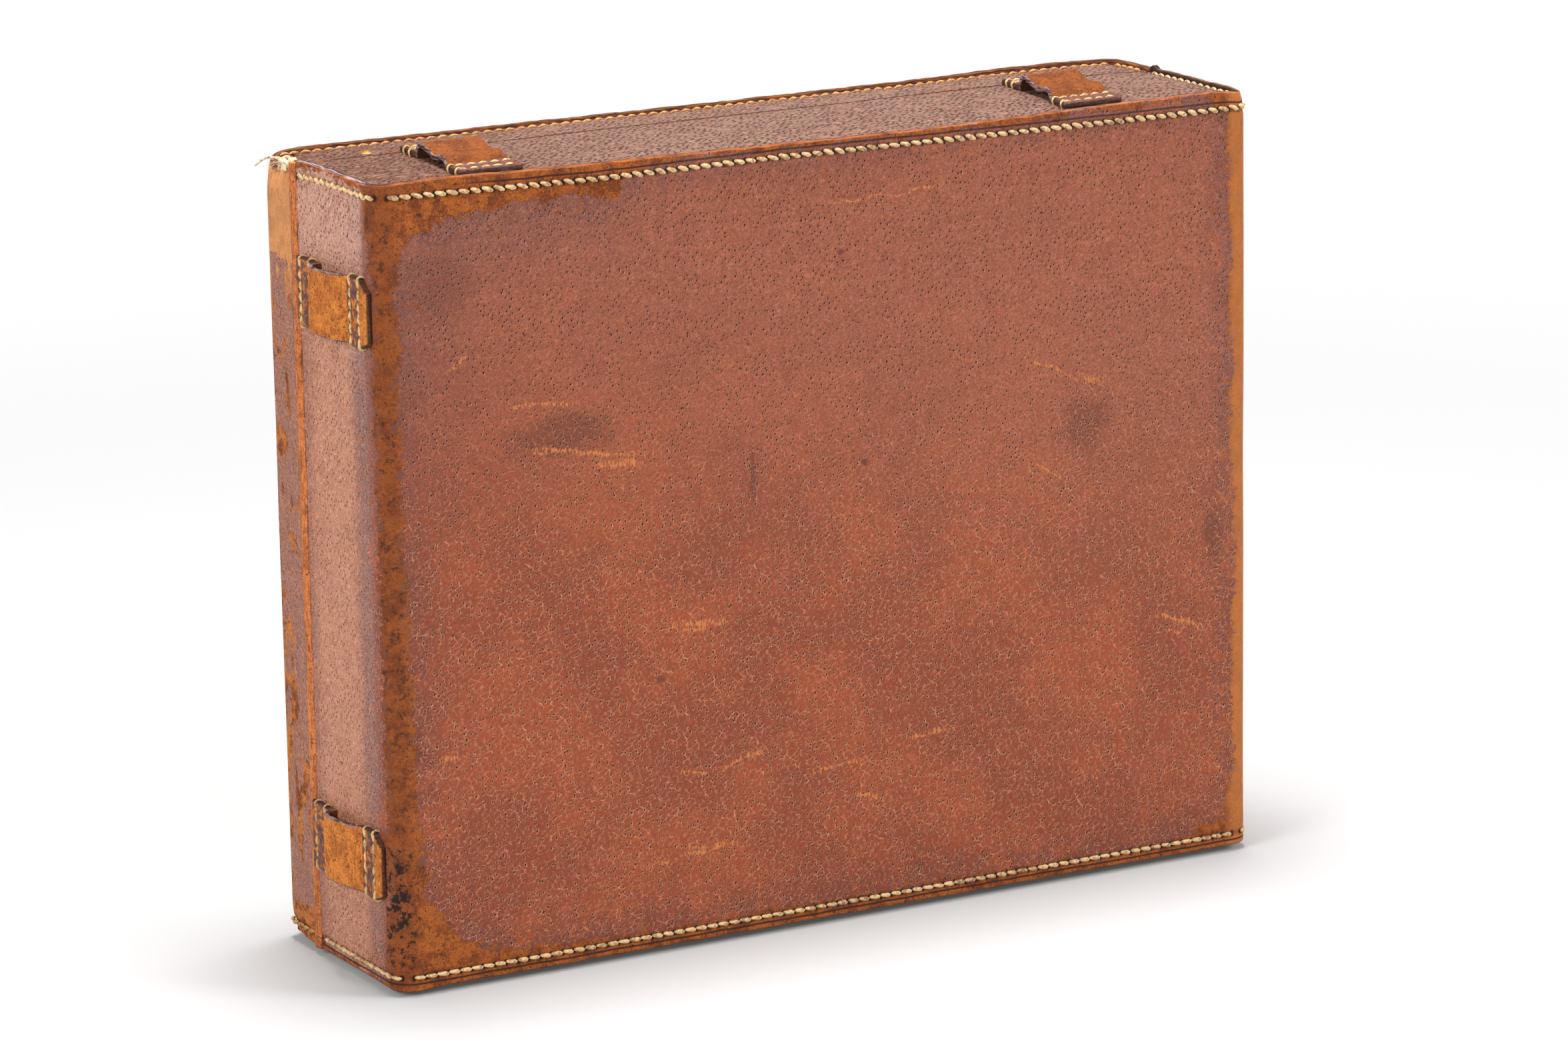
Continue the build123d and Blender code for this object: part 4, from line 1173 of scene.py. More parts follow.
def wrap_shell(tray, name):
    """The hide round one half: a strap 2.4 mm thick, on edge, carried round the outline.

    Its outer face is pressed in along the seams and at each needle hole, its crests waver, the
    corners beside the fold are worn round and a bit of the base's crest is torn at the split.
    """
    s = sizes()
    run = np.arange(tray.start, tray.end, 0.8 * MM)
    ends = np.array([0.12, 0.4]) * MM
    run = np.unique(np.concatenate([run[1:-1], [tray.start, tray.end], tray.start + ends, tray.end - ends]))
    places, out = tray.wall(run)
    rows = wall_rows()
    middle = np.arange(Z_LOW + 22 * MM, Z_HIGH - 20 * MM, 5 * MM)
    heights = np.concatenate([Z_LOW + rows, middle, (Z_HIGH - rows)[::-1]])
    distance, height = np.meshgrid(run, heights, indexing="ij")
    relief = 0.1 * swell(distance / MM, height / MM, 34.0, 3) + 0.12
    climb = np.zeros(len(run)) if tray.lid else seam_rise(run)
    rows_of_thread = (
        (Z_HIGH - s.seam_inset + climb * MM, True),
        (Z_LOW + s.seam_inset + 0 * climb, False),
    )
    for row, top in rows_of_thread:
        centres = tray.stitches(top)
        sewn = 1 - (tray.lid and top) * np.clip((X_LEFT + 6 * MM - run) / (4 * MM), 0, 1)[:, None]
        off = (height - row[:, None]) / MM
        holes = np.concatenate([centres - s.pitch / 2, centres + s.pitch / 2])
        beside = np.minimum(nearest(run, holes) / MM, 4.0)[:, None]
        relief -= 0.34 * bell(off, 1.1) * sewn
        relief -= 0.36 * bell(off, 0.9) * bell(beside, 0.8) * sewn
    worn_end = bell((run - (X_LEFT + 2 * MM)) / MM, 11.0)
    dome = bell((run - (X_LEFT - 7 * MM)) / MM, 10.0) * tray.lid
    corner = bell((run - (X_RIGHT - 1 * MM)) / MM, 7.0) * (not tray.lid)
    worn_places = (
        (3.4 if tray.lid else 0.7, worn_end, height - Z_LOW, 11 * MM),
        (2.6, dome, Z_HIGH - height, 13 * MM),
        (1.7, corner, Z_HIGH - height, 9 * MM),
    )
    for depth, along, from_crest, reach in worn_places:
        relief -= depth * along[:, None] * rounded(ebb(from_crest, reach))
    lift = raised(places[:, 0], places[:, 1]) - 4.4 * dome - 0.9 * corner
    torn = 0.0 if tray.lid else 1.0 * bell((run - (tray.end - 1.6 * MM)) / MM, 1.3)
    rise = lift + torn + 0.12 * waver(run / MM, 7.0, 5) + 0.1 * waver(run / MM, 2.2, 6)
    follow = ebb(Z_HIGH - height - 5 * MM, 10 * MM)
    level_out = height / MM + lift[:, None] * follow
    crest = np.array(CREST)
    wavy = 0.16 * waver(run / MM, 5.0, 9)[:, None] + 0.1 * waver(run / MM, 1.7, 10)[:, None]
    outer = crest[:, 0] > -0.7
    inner = crest[:, 0] < -2.0
    high_out = crest[:, 0] + relief[:, -1:] * outer + wavy * inner
    low_out = crest[:, 0] + relief[:, :1] * outer + wavy * inner
    keeps = np.interp(crest[:, 1], [0.6, 4.0], [1.0, 0.5])
    high_level = Z_HIGH / MM - crest[:, 1] + rise[:, None] * keeps
    low_rise = 0.12 * waver(run / MM, 6.0, 15) + (0.9 * worn_end if tray.lid else -0.7 * worn_end)
    low_level = Z_LOW / MM + crest[:, 1] + low_rise[:, None] * keeps
    offset = np.concatenate([low_out[:, ::-1], relief, high_out], 1)
    level = np.concatenate([low_level[:, ::-1], level_out, high_level], 1)
    gap = np.minimum(run - tray.start, tray.end - run) / MM
    shrink = 0.4 * ebb(gap, 0.4) ** 2
    offset = offset + (-s.leather / MM / 2 - offset) * shrink[:, None]
    flat = places[:, None, :] + out[:, None, :] * (offset * MM)[..., None]
    rings = np.concatenate([flat, (level * MM)[..., None]], -1)
    beyond = np.concatenate([[0], np.cumsum(np.hypot(*np.diff(crest, axis=0).T))]) * MM
    along_ring = np.concatenate([(Z_LOW + 0.4 * MM - beyond)[::-1], heights, Z_HIGH - 0.4 * MM + beyond])
    along_ring = np.append(along_ring, along_ring[0])
    flat_run = np.stack(np.meshgrid(run, along_ring, indexing="ij"), -1)
    return shell(name, rings, flat_run, crease=60)


class CASE_OT_wraps(Operator):
    """Build the hide that goes round the base and the lid"""

    bl_idname = "case.wraps"
    bl_label = "Wraps"

    def execute(self, context):
        for lid, body, hide in ((False, "base", base_hide), (True, "lid", lid_hide)):
            piece = wrap_shell(Tray(lid), f"{body}_wrap_hide")
            dress(piece, hide(), body, [f"{body}_wrap"])
        return {"FINISHED"}


def panel_shell(tray, top, name):
    """An end panel: cross sections from left to right, carried from the big face to the split.

    Its upper side is pressed in along the seam and at each needle hole, and swells a little
    between them.
    """
    s = sizes()
    inner = tray.face - tray.facing * s.leather
    edge = Y_LID if tray.lid else Y_BASE
    depth = abs(edge - inner)
    steps = np.concatenate([
        [0, 0.3], np.arange(0.8, 3.2, 0.4), np.arange(3.6, depth / MM - 1.4, 1.6),
        depth / MM - np.array([1.0, 0.6, 0.3, 0.1, 0.0]),
    ]) * MM
    y = inner - tray.facing * steps
    insets = []
    for bend in (tray.left_bend, tray.right_bend):
        radius = bend - s.leather
        gap = np.clip(radius - steps, 0, radius)
        insets.append(radius - np.sqrt(radius**2 - gap**2))
    x0 = X_LEFT + s.leather + insets[0]
    x1 = X_RIGHT - s.leather - insets[1]
    share = np.concatenate([[0.0, 0.0012], np.linspace(0.004, 0.996, 300), [0.9988, 1.0]])
    x = x0[:, None] + (x1 - x0)[:, None] * share
    far = np.broadcast_to(y[:, None], x.shape)
    sign = 1.0 if top else -1.0
    z_face = Z_TOP if top else Z_BOTTOM
    from_wall = np.abs(far - tray.face)
    from_side = np.minimum(x - X_LEFT, X_RIGHT - x)
    from_edge = np.minimum(from_wall, from_side)
    centres = tray.stitches(top)
    on_face = centres[(centres > X_LEFT + 5 * MM) & (centres < X_RIGHT - 5 * MM)]
    holes = np.concatenate([on_face - s.pitch / 2, on_face + s.pitch / 2])
    off = (from_edge - s.seam_inset) / MM
    beside = nearest(x[len(x) // 2], holes) / MM
    press = 0.26 * bell(off, 0.9) + 0.26 * bell(off, 0.8) * bell(beside, 0.8)[None, :]
    if top and not tray.lid:
        press = press * np.clip((x - X_RIGHT) / (4 * MM) + 3, 0, 1)
    swollen = 0.2 * np.clip((from_edge / MM - 5) / 12, 0, 1) + 0.1 * swell(x / MM, far / MM, 18.0, 12)
    to_split = np.abs(far - edge) / MM
    ends = bell(share, 0.0008) + bell(share - 1, 0.0008)
    rim = 0.35 * ebb(to_split, 0.9) ** 2 + 0.25 * ends
    face = z_face + sign * MM * (swollen - press - rim - 0.08)
    back = np.full((len(y), 2), z_face - sign * s.leather)
    if top:
        lift = raised(x, far)
        if tray.lid:
            lift = lift - 3.6 * bell((x - X_LEFT) / MM, 9.0) * np.clip((far - Y_SPLIT) / (9 * MM), 0.2, 1)
        face = face + lift * MM
        back = back + lift[:, [-1, 0]] * MM
    x = np.concatenate([x, x1[:, None], x0[:, None]], 1)
    z = np.concatenate([face, back], 1)
    far = np.broadcast_to(y[:, None], x.shape)
    rings = np.stack([x, far, z], -1)
    run = np.stack([x, far], -1)
    run = np.concatenate([run, run[:, :1]], 1)
    return shell(name, rings, run, crease=55)


class CASE_OT_end_panels(Operator):
    """Build the leather panels at the top and the bottom"""

    bl_idname = "case.end_panels"
    bl_label = "End panels"

    def execute(self, context):
        for lid, body, edge, sign in ((False, "base", Y_BASE, 1.0), (True, "lid", Y_LID, -1.0)):
            hide = panel_hide(f"{body}_panel_hide", edge, sign)
            for top, place in ((True, "top"), (False, "bottom")):
                node = f"{body}_{place}_panel"
                piece = panel_shell(Tray(lid), top, f"{node}_hide")
                dress(piece, hide, body, [node])
        return {"FINISHED"}


class CASE_OT_fold(Operator):
    """Build the leather fold that the lid turns on and the cloth inside it"""

    bl_idname = "case.fold"
    bl_label = "Fold"

    def execute(self, context):
        low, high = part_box("hinge_fold")
        half = (high.y - low.y) / 2 + 1.0 * MM
        across = np.linspace(-1, 1, 21)
        face = 1.0 * (1 - across**2) - 0.6 * np.abs(across) ** 6
        top = np.stack([-face * MM, across * half], -1)
        back = np.stack([np.full(9, 0.9 * MM), np.linspace(1, -1, 9) * half * 0.98], -1)
        section = np.concatenate([top, back])
        z = np.linspace(low.z, high.z, 150)
        wander = 0.18 * waver(z / MM, 21.0, 4) * MM
        rings = np.zeros((len(z), len(section), 3))
        rings[..., 0] = X_LEFT + section[:, 0] + 0.06 * MM * waver(z / MM, 6.0, 2)[:, None]
        rings[..., 1] = Y_SPLIT + section[:, 1] + (wander[:, None] * (np.abs(section[:, 1]) < half * 0.9))
        rings[..., 2] = z[:, None]
        run = np.stack(np.broadcast_arrays(Y_SPLIT + section[None, :, 1], z[:, None]), -1)
        run = np.concatenate([run, run[:, :1]], 1)
        fold = shell("hinge_fold_hide", rings, run, crease=70)
        dress(fold, fold_hide(), None, ["hinge_fold"])
        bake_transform(fold)
        low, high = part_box("hinge_cloth")
        across = np.linspace(-1, 1, 61)
        rim = (high.x - low.x) / 2 * np.sqrt(1 - np.abs(across) ** 40)
        width = across * (high.y - low.y) / 2
        inside, outside = np.stack([rim, width], -1), np.stack([-rim, width], -1)
        section = np.concatenate([inside[1:], outside[-2::-1]])
        middle = (np.array(low) + np.array(high)) / 2
        strip = shell("hinge_cloth_strip", carried(section, np.linspace(low.z, high.z, 60), 2, middle))
        dress(strip, bpy.data.materials["lining_cloth"], None, ["hinge_cloth"])
        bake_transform(strip)
        return {"FINISHED"}


def superellipse(count, half_width, half_height, softness):
    """A rounded rectangle: a circle's cosine and sine raised to a low power keep its corners."""
    angle = np.linspace(0, 2 * np.pi, count, endpoint=False)
    x = np.sign(np.cos(angle)) * np.abs(np.cos(angle)) ** softness * half_width
    y = np.sign(np.sin(angle)) * np.abs(np.sin(angle)) ** softness * half_height
    return np.stack([x, y], -1)


# Thread


def stitch_paths(centres, along, out, length, lean, lift, seed):
    """Centre lines of stitches: from hole to hole, leaning across the seam and bowed outwards."""
    count = len(centres)
    cells = np.arange(count)
    across = np.cross(out, along)
    t = np.linspace(0, 1, 9)
    vary = 1 + 0.07 * lattice(cells, seed)
    leaning = lean * (1 + 0.45 * lattice(cells, seed + 1))
    bowed = lift * (1 + 0.18 * lattice(cells, seed + 2))
    forward = (length * vary)[:, None] * (t - 0.5)
    sideways = leaning[:, None] * np.sin((t - 0.5) * np.pi)
    outwards = bowed[:, None] * np.sin(np.pi * t) ** 0.8 - 0.35 * MM
    return (
        centres[:, None, :] + forward[..., None] * along[:, None, :]
        + sideways[..., None] * across[:, None, :] + outwards[..., None] * out[:, None, :]
    )


def stitch_rings(centres, along, out, length, lean, lift, seed, share=1.0):
    """Stitches as tubes that are thick in the middle and narrow to their holes.

    share scales the thickness of the thread.
    """
    s = sizes()
    paths = stitch_paths(centres, along, out, length, lean, lift, seed)
    t = np.linspace(0, 1, paths.shape[1])
    thick = 0.4 + 0.6 * np.sin(np.pi * t) ** 0.7
    vary = 1 + 0.1 * lattice(np.arange(len(centres)), seed + 3)
    radius = share * s.thread / 2 * vary[:, None] * thick[None, :]
    return tube(paths, radius, out, around=8, twist=0.1)


def seam_rings(tray, top):
    """One half's seam at the top or the bottom: its run on the walls and its run on the panel.

    On the base's top panel the thread shows beside the lock only; elsewhere it has sunk in.
    """
    s = sizes()
    run = tray.stitches(top)
    places, out = tray.wall(run)
    ahead, _ = tray.wall(run + 0.1 * MM)
    sign = 1.0 if top else -1.0
    level = np.full(len(run), (Z_HIGH if top else Z_LOW) - sign * s.seam_inset)
    if top:
        climb = 0 * run if tray.lid else seam_rise(run)
        level = level + (raised(places[:, 0], places[:, 1]) + climb) * MM
    centres = np.column_stack([places, level])
    along = np.column_stack([ahead - places, np.zeros(len(run))])
    along /= np.linalg.norm(along, axis=1, keepdims=True)
    outward = np.column_stack([out, np.zeros(len(run))])
    slant = (-0.5 if top else -0.15) * MM * (1 if not tray.lid else -1)
    seed = 11 + 5 * tray.lid + 2 * top
    walls = stitch_rings(centres, along, outward, s.pitch * 0.9, slant, 0.5 * MM, seed)
    inset = places - out * s.seam_inset
    face = np.full(len(run), Z_TOP if top else Z_BOTTOM)
    if top:
        face = face + raised(inset[:, 0], inset[:, 1]) * MM
    centres = np.column_stack([inset, face])
    upward = np.tile([0.0, 0.0, sign], (len(run), 1))
    hidden = np.linalg.norm(np.gradient(inset, axis=0), axis=1) < s.pitch * 0.6
    if top and not tray.lid:
        hidden |= run < X_RIGHT - 3 * MM
    panel = stitch_rings(centres, along, upward, s.pitch * 0.86, slant * 0.3, 0.42 * MM, seed + 40, 0.68)
    return np.concatenate([walls, panel[~hidden]])


def frayed_end():
    """Paths of the loose thread on the lid's corner: a knot, a free end and its frayed fibres."""
    centre = np.array([X_LEFT + 0.6 * MM, Y_LID + 5 * MM, Z_HIGH - 1.2 * MM])
    t = np.linspace(0, 1, 40)
    turns = 2 * np.pi * 1.9 * t
    knot = np.stack([2.0 * np.cos(turns), 2.6 * np.sin(turns), 1.2 * np.sin(turns * 1.5) + 0.2], -1)
    second = np.stack([2.1 * np.sin(turns), 1.8 * np.cos(turns * 1.3), 1.2 * np.cos(turns * 0.8)], -1)
    hanging = [(-0.5, 0.5, 0.6), (-2.6, 3.0, 1.6), (-4.6, 6.5, 1.2), (-6.6, 10.0, -1.4)]
    paths = [knot, second, curve_through(hanging, 40)]
    radii = [0.95 + 0 * t, 0.85 + 0 * t, 0.5 * (1 - 0.4 * t)]
    for number in range(16):
        spread = lattice(np.arange(3) + number * 3.0, 8)
        reach = 2.0 + 4.5 * abs(spread[0])
        end = np.array([-reach - 0.6, reach * 1.3 + 2.4 * spread[1], -1.0 + 1.9 * spread[2]])
        bow = np.array([0.4 * spread[2], 0.8 * spread[0], 1.2 * spread[1] + 0.8])
        fibre = [(-0.8, 0.0, 0.5), tuple(end * 0.45 + bow), tuple(end)]
        paths.append(curve_through(fibre, 40))
        radii.append(0.13 * (1.15 - t))
    trail = [(0.8, 1.0, 0.2), (2.4, 3.0, -0.2), (2.0, 7.0, 0.1), (2.6, 11.0, -0.1)]
    paths.append(curve_through(trail, 40))
    radii.append(0.5 * (1 - 0.3 * t))
    return centre + np.array(paths) * MM, np.array(radii) * MM


class CASE_OT_seams(Operator):
    """Sew the seams of both halves and leave the frayed end at the corner"""

    bl_idname = "case.seams"
    bl_label = "Seams"

    def execute(self, context):
        c = colours()
        cream = thread_look("cream_thread", tuple(c.cream))
        ochre = thread_look("ochre_thread", tuple(c.ochre))
        for lid, body, look in ((False, "base", cream), (True, "lid", ochre)):
            for top, place in ((True, "top"), (False, "bottom")):
                node = f"{body}_{place}_seam"
                piece = shell(f"{node}_thread", seam_rings(Tray(lid), top))
                dress(piece, look, body, [node])
        paths, radii = frayed_end()
        out = np.tile([0.0, 0.0, 1.0], (len(paths), 1))
        out[:3] = (0.1, 0.2, 1.0)
        frayed = shell("frayed_thread_end", tube(paths, radii, out, around=6))
        dress(frayed, thread_look("frayed_thread", tone(250, 230, 190)), "lid", ["loose_thread"])
        return {"FINISHED"}


# Strap keepers


# Kinds of keeper, in mm across the strap: where the arch starts and ends, the whole length, the
# height of the tabs, the rows of stitches, and the arch as shares of its length and heights
KEEPERS = {
    "sagging": (10.5, 36.0, 49.0, 2.3, (1.9, 8.4, 40.4, 45.0), (
        (0.07, 3.5), (0.2, 4.5), (0.38, 3.6), (0.5, 3.5), (0.66, 4.5), (0.87, 5.6), (0.97, 4.4),
    )),
    "bulging": (13.2, 36.3, 50.0, 2.1, (4.9, 11.1, 40.0, 46.6), (
        (0.1, 3.3), (0.45, 5.0), (0.75, 5.9), (0.9, 5.4), (0.98, 3.8),
    )),
    "pressed": (10.5, 33.5, 49.0, 3.4, (1.9, 8.6, 38.3, 45.0), ((0.2, 3.4), (0.5, 3.4), (0.8, 3.4))),
}


def keeper_lines(kind):
    """Upper and lower line of a keeper seen from its end, in mm: across the strap and height."""
    strip = sizes().strip / MM
    first, last, width, tab, rows, arch = KEEPERS[kind]
    gap = last - first
    corners = [(first, tab)] + [(first + gap * share, rise) for share, rise in arch] + [(last, tab)]
    upper_arch = curve_through(corners, 60)
    slope = np.gradient(upper_arch, axis=0)
    slope /= np.linalg.norm(slope, axis=1, keepdims=True)
    lower_arch = upper_arch + np.stack([slope[:, 1], -slope[:, 0]], -1) * strip
    lower_arch[0] = (first, tab - strip)
    lower_arch[-1] = (last - strip, tab - strip)
    front = np.concatenate([[0.0, 0.12, 0.4], np.arange(0.9, first - 0.2, 0.5)])
    rear = np.concatenate([np.arange(last + 0.3, width - 0.9, 0.5), width - np.array([0.4, 0.12, 0.0])])

    def tab_top(places):
        """Height of a tab's top, sunk along its rows of stitches and rounded at its ends."""
        sunk = sum(0.28 * bell(places - row, 0.8) for row in rows)
        edge = np.minimum(places, width - places)
        return tab + 0.1 - sunk - 0.8 * ebb(edge, 0.8) ** 2

    def foot(places):
        """Underside of a tab, drawn in a little at its very end."""
        return np.column_stack([places, 0.5 * (np.minimum(places, width - places) < 0.3)])

    upper = np.concatenate([
        np.column_stack([front, tab_top(front)]), [(first - 0.1, tab)], upper_arch,
        [(last + 0.05, tab)], np.column_stack([rear, tab_top(rear)]),
    ])
    lower = np.concatenate([
        foot(front), [(first - 0.1, 0.0)], lower_arch, [(last - strip + 0.1, 0.0)], foot(rear),
    ])
    return upper, lower


def placed(start, out, sideways, points, skew):
    """Keeper points in mm (across the strap, height, along the strap's width) set on the case.

    A keeper on top follows the bulge of the panel. skew says how far it sits from its place
    lengthwise, how much further its front end does, and how far it sits across the strap.
    """
    across, height, lengthwise = points[..., :1], points[..., 1:2], points[..., 2:]
    found = start + MM * (
        (across + skew[2]) * np.array([0.0, 1.0, 0.0]) + height * np.array(out, float)
        + (lengthwise + skew[0] + skew[1] * (1 - across / KEEPER_LENGTH)) * np.array(sideways, float)
    )
    if out[2] > 0:
        found[..., 2] += raised(found[..., 0], found[..., 1]) * MM
    return found


# Outline of a keeper's section: place along its 22 mm and share of its thickness
KEEPER_SECTION = (
    (0.0, 0.3), (0.0, 0.7), (0.12, 0.92), (0.5, 1.0), (3.0, 1.0), (7.0, 1.0), (11.0, 1.0),
    (15.0, 1.0), (19.0, 1.0), (21.5, 1.0), (21.88, 0.92), (22.0, 0.7), (22.0, 0.3),
    (21.88, 0.08), (21.5, 0.0), (11.0, 0.0), (0.5, 0.0), (0.12, 0.08),
)


def keeper_shell(name, node, out, sideways, kind, skew, seed):
    """A keeper: rounded oblong sections carried along its side profile, with frayed edges.

    The front tabs beside the fold have their corners cut off.
    """
    low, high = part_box(node)
    upper, lower = keeper_lines(kind)
    ring = np.array(KEEPER_SECTION)
    half = KEEPER_WIDTH / 2
    first, last = KEEPERS[kind][:2]
    across = lower[:, None, :] + (upper - lower)[:, None, :] * ring[None, :, 1:2]
    on_arch = np.clip(np.minimum(upper[:, 0] - first, last - upper[:, 0]) / 1.5, 0, 1)
    cut = ebb(upper[:, :1], 4.7) * (kind == "bulging")
    cut = cut * np.where(ring[:, 0] > half, 0.36, 0.17)
    lengthwise = half + (ring[:, 0] - half)[None, :] * (1 - 0.05 * on_arch[:, None] - cut)
    rim = np.abs(ring[:, 0] - half)[None, :] > half - 1
    side = 50 * np.sign(ring[:, 0] - half)
    edge = upper[:, :1] + side
    frayed = 0.2 * waver(edge, 4.0, seed) + 0.25 * waver(edge, 1.3, seed + 3)
    lengthwise = lengthwise + rim * frayed * (0.4 + 0.6 * on_arch[:, None])
    sag = 0.22 * on_arch[:, None] * waver(lengthwise + 40 * seed, 6.0, seed) * (kind != "pressed")
    start = np.array([high.x if out[0] < 0 else low.x, low.y, high.z if out[2] < 0 else low.z])
    points = np.stack([across[..., 0], across[..., 1] + sag, lengthwise], -1)
    rings = placed(start, out, sideways, points, skew)
    round_it = np.where(ring[:, 1] < 0.2, 2 * KEEPER_WIDTH - ring[:, 0], ring[:, 0])
    run = np.stack([across[..., 0], np.broadcast_to(round_it, across.shape[:2])], -1)
    run = np.concatenate([run, run[:, :1] + (0, 2 * KEEPER_WIDTH)], 1) * MM
    return shell(name, rings, run, crease=45), start


def keeper_thread(start, out, sideways, kind, skew, seed):
    """Stitches of a keeper's four rows, with a loop over the near end of every row."""
    s = sizes()
    tab, rows = KEEPERS[kind][3:5]
    pressed = kind == "pressed"
    count = 5 if out[2] else 6
    pitch, first, thick = (4.05, 2.0, 0.62) if out[2] else (3.7, 1.75, 0.75)
    sink = 0.45 if pressed else 0.1
    rings = []
    for number, row in enumerate(rows):
        places = first + pitch * np.arange(count) + (number % 2) * 1.7 * abs(out[2])
        points = np.stack(np.broadcast_arrays(row, tab - sink, places), -1)
        centres = placed(start, out, sideways, points, skew)
        along = np.tile(np.array(sideways, float), (count, 1))
        away = np.tile(np.array(out, float), (count, 1))
        lift = (0.15 if pressed else 0.4) * MM
        rings.append(stitch_rings(centres, along, away, 3.5 * MM, 0.2 * MM, lift, seed + number, thick))
        if pressed:
            continue
        for end, sign in ((0.0, -1.0), (KEEPER_WIDTH, 1.0)):
            if out[2] and sign > 0:
                continue
            bend = np.array([
                (end - sign * 2.2, tab - 0.2), (end - sign * 0.9, tab + 0.3), (end - sign * 0.1, tab + 0.1),
                (end + sign * 0.4, tab - 0.7), (end + sign * 0.35, tab * 0.3), (end, -0.1),
            ])
            line = curve_through(bend, 9)
            points = np.stack([row - 0.6 + 0.9 * np.linspace(1, 0, 9), line[:, 1], line[:, 0]], -1)
            path = placed(start, out, sideways, points, skew)[None]
            radius = s.thread * 0.24 * (0.5 + 0.5 * np.sin(np.pi * np.linspace(0.12, 0.9, 9)))[None]
            rings.append(tube(path, radius, np.array([[0.0, -1.0, 0.0]]), around=8, twist=0.1))
    return np.concatenate(rings)


class CASE_OT_keepers(Operator):
    """Build the six strap keepers and their stitches"""

    bl_idname = "case.keepers"
    bl_label = "Strap keepers"

    def execute(self, context):
        looks = {
            "sagging": keeper_hide("top_keeper_hide", "sagging", 0.3),
            "bulging": keeper_hide("side_keeper_hide", "bulging", 0.55),
            "pressed": keeper_hide("pressed_keeper_hide", "pressed", 0.8),
        }
        plan = (
            ("hinge_side_top_keeper", (-1, 0, 0), (0, 0, 1), "bulging", (0.0, 0.0, 0.0), 21),
            ("hinge_side_bottom_keeper", (-1, 0, 0), (0, 0, 1), "bulging", (0.0, 0.0, 1.8), 22),
            ("top_left_keeper", (0, 0, 1), (1, 0, 0), "sagging", (0.0, -3.7, 0.0), 23),
            ("top_right_keeper", (0, 0, 1), (1, 0, 0), "sagging", (-2.8, -6.2, 0.0), 24),
            ("bottom_left_keeper", (0, 0, -1), (1, 0, 0), "pressed", (0.0, 0.0, 0.0), 25),
            ("bottom_right_keeper", (0, 0, -1), (1, 0, 0), "pressed", (0.0, 0.0, 0.0), 26),
        )
        threads = []
        for node, out, sideways, kind, skew, seed in plan:
            piece, start = keeper_shell(f"{node}_leather", node, out, sideways, kind, skew, seed)
            dress(piece, looks[kind], "base", [node])
            threads.append(keeper_thread(start, out, sideways, kind, skew, seed))
        thread = thread_look("keeper_thread", tone(230, 192, 132))
        piece = shell("keeper_thread_rows", np.concatenate(threads))
        dress(piece, thread, "base", ["keeper_stitches"])
        return {"FINISHED"}


# Inside


def oblong(x0, x1, z0, z1, radius, steps=6, side=24):
    """Corners and sides of a rounded oblong, the same number of points whatever its size."""
    quarter = np.linspace(0, np.pi / 2, steps)
    points = []
    corners = ((x1 - radius, z1 - radius, 0), (x0 + radius, z1 - radius, 1),
               (x0 + radius, z0 + radius, 2), (x1 - radius, z0 + radius, 3))
    for cx, cz, turn in corners:
        angle = quarter + turn * np.pi / 2
        points.append(np.stack([cx + radius * np.cos(angle), cz + radius * np.sin(angle)], -1))
    outline = []
    for arc, following in zip(points, points[1:] + points[:1]):
        outline.append(arc)
        share = np.linspace(0, 1, side + 2)[1:-1, None]
        outline.append(arc[-1] + (following[0] - arc[-1]) * share)
    return np.concatenate(outline)


def lining_shell(name, node, facing, lip):
    """A cloth tray: rounded oblongs from the middle of its floor, up the walls and back outside.

    lip gives the height of the tray's rim, away from its floor, for each x.
    """
    low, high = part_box(node)
    cloth = sizes().cloth / MM
    floor = low.y if facing < 0 else high.y
    top = max(abs(high.y - low.y) / MM, 6)
    # Inset, corner radius and height of each oblong, in mm
    levels = (
        (30, 2.0, cloth), (10, 2.0, cloth), (4, 2.0, cloth), (cloth + 1.2, 2.4, cloth + 0.15),
        (cloth + 0.35, 2.2, cloth + 0.6), (cloth, 2.0, cloth + 1.5), (cloth, 2.0, top - 0.15),
        (cloth * 0.6, 2.2, top), (cloth * 0.3, 2.3, top), (0.02, 2.5, top - 0.15),
        (0.02, 2.5, 0.5), (0.5, 2.0, 0.02), (30, 2.0, 0.02),
    )
    rings = []
    for level in levels:
        inset, radius, height = (MM * part for part in level)
        flat = oblong(low.x + inset, high.x - inset, low.z + inset, high.z - inset, radius)
        rim = lip(flat[:, 0]) if height > 5 * MM else height
        y = floor - facing * np.broadcast_to(np.minimum(height, rim), len(flat))
        rings.append(np.column_stack([flat[:, 0], y, flat[:, 1]]))
    return shell(name, np.array(rings), crease=60)


def padded_board(name, node, axis):
    """A cloth-covered divider: a soft oblong section carried along one axis."""
    low, high = (np.array(corner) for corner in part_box(node))
    first, second = [a for a in (0, 1, 2) if a != axis]
    section = superellipse(48, (high[first] - low[first]) / 2, (high[second] - low[second]) / 2, 0.16)
    places = np.linspace(low[axis], high[axis], 40)
    return shell(name, carried(section, places, axis, (low + high) / 2), crease=60)


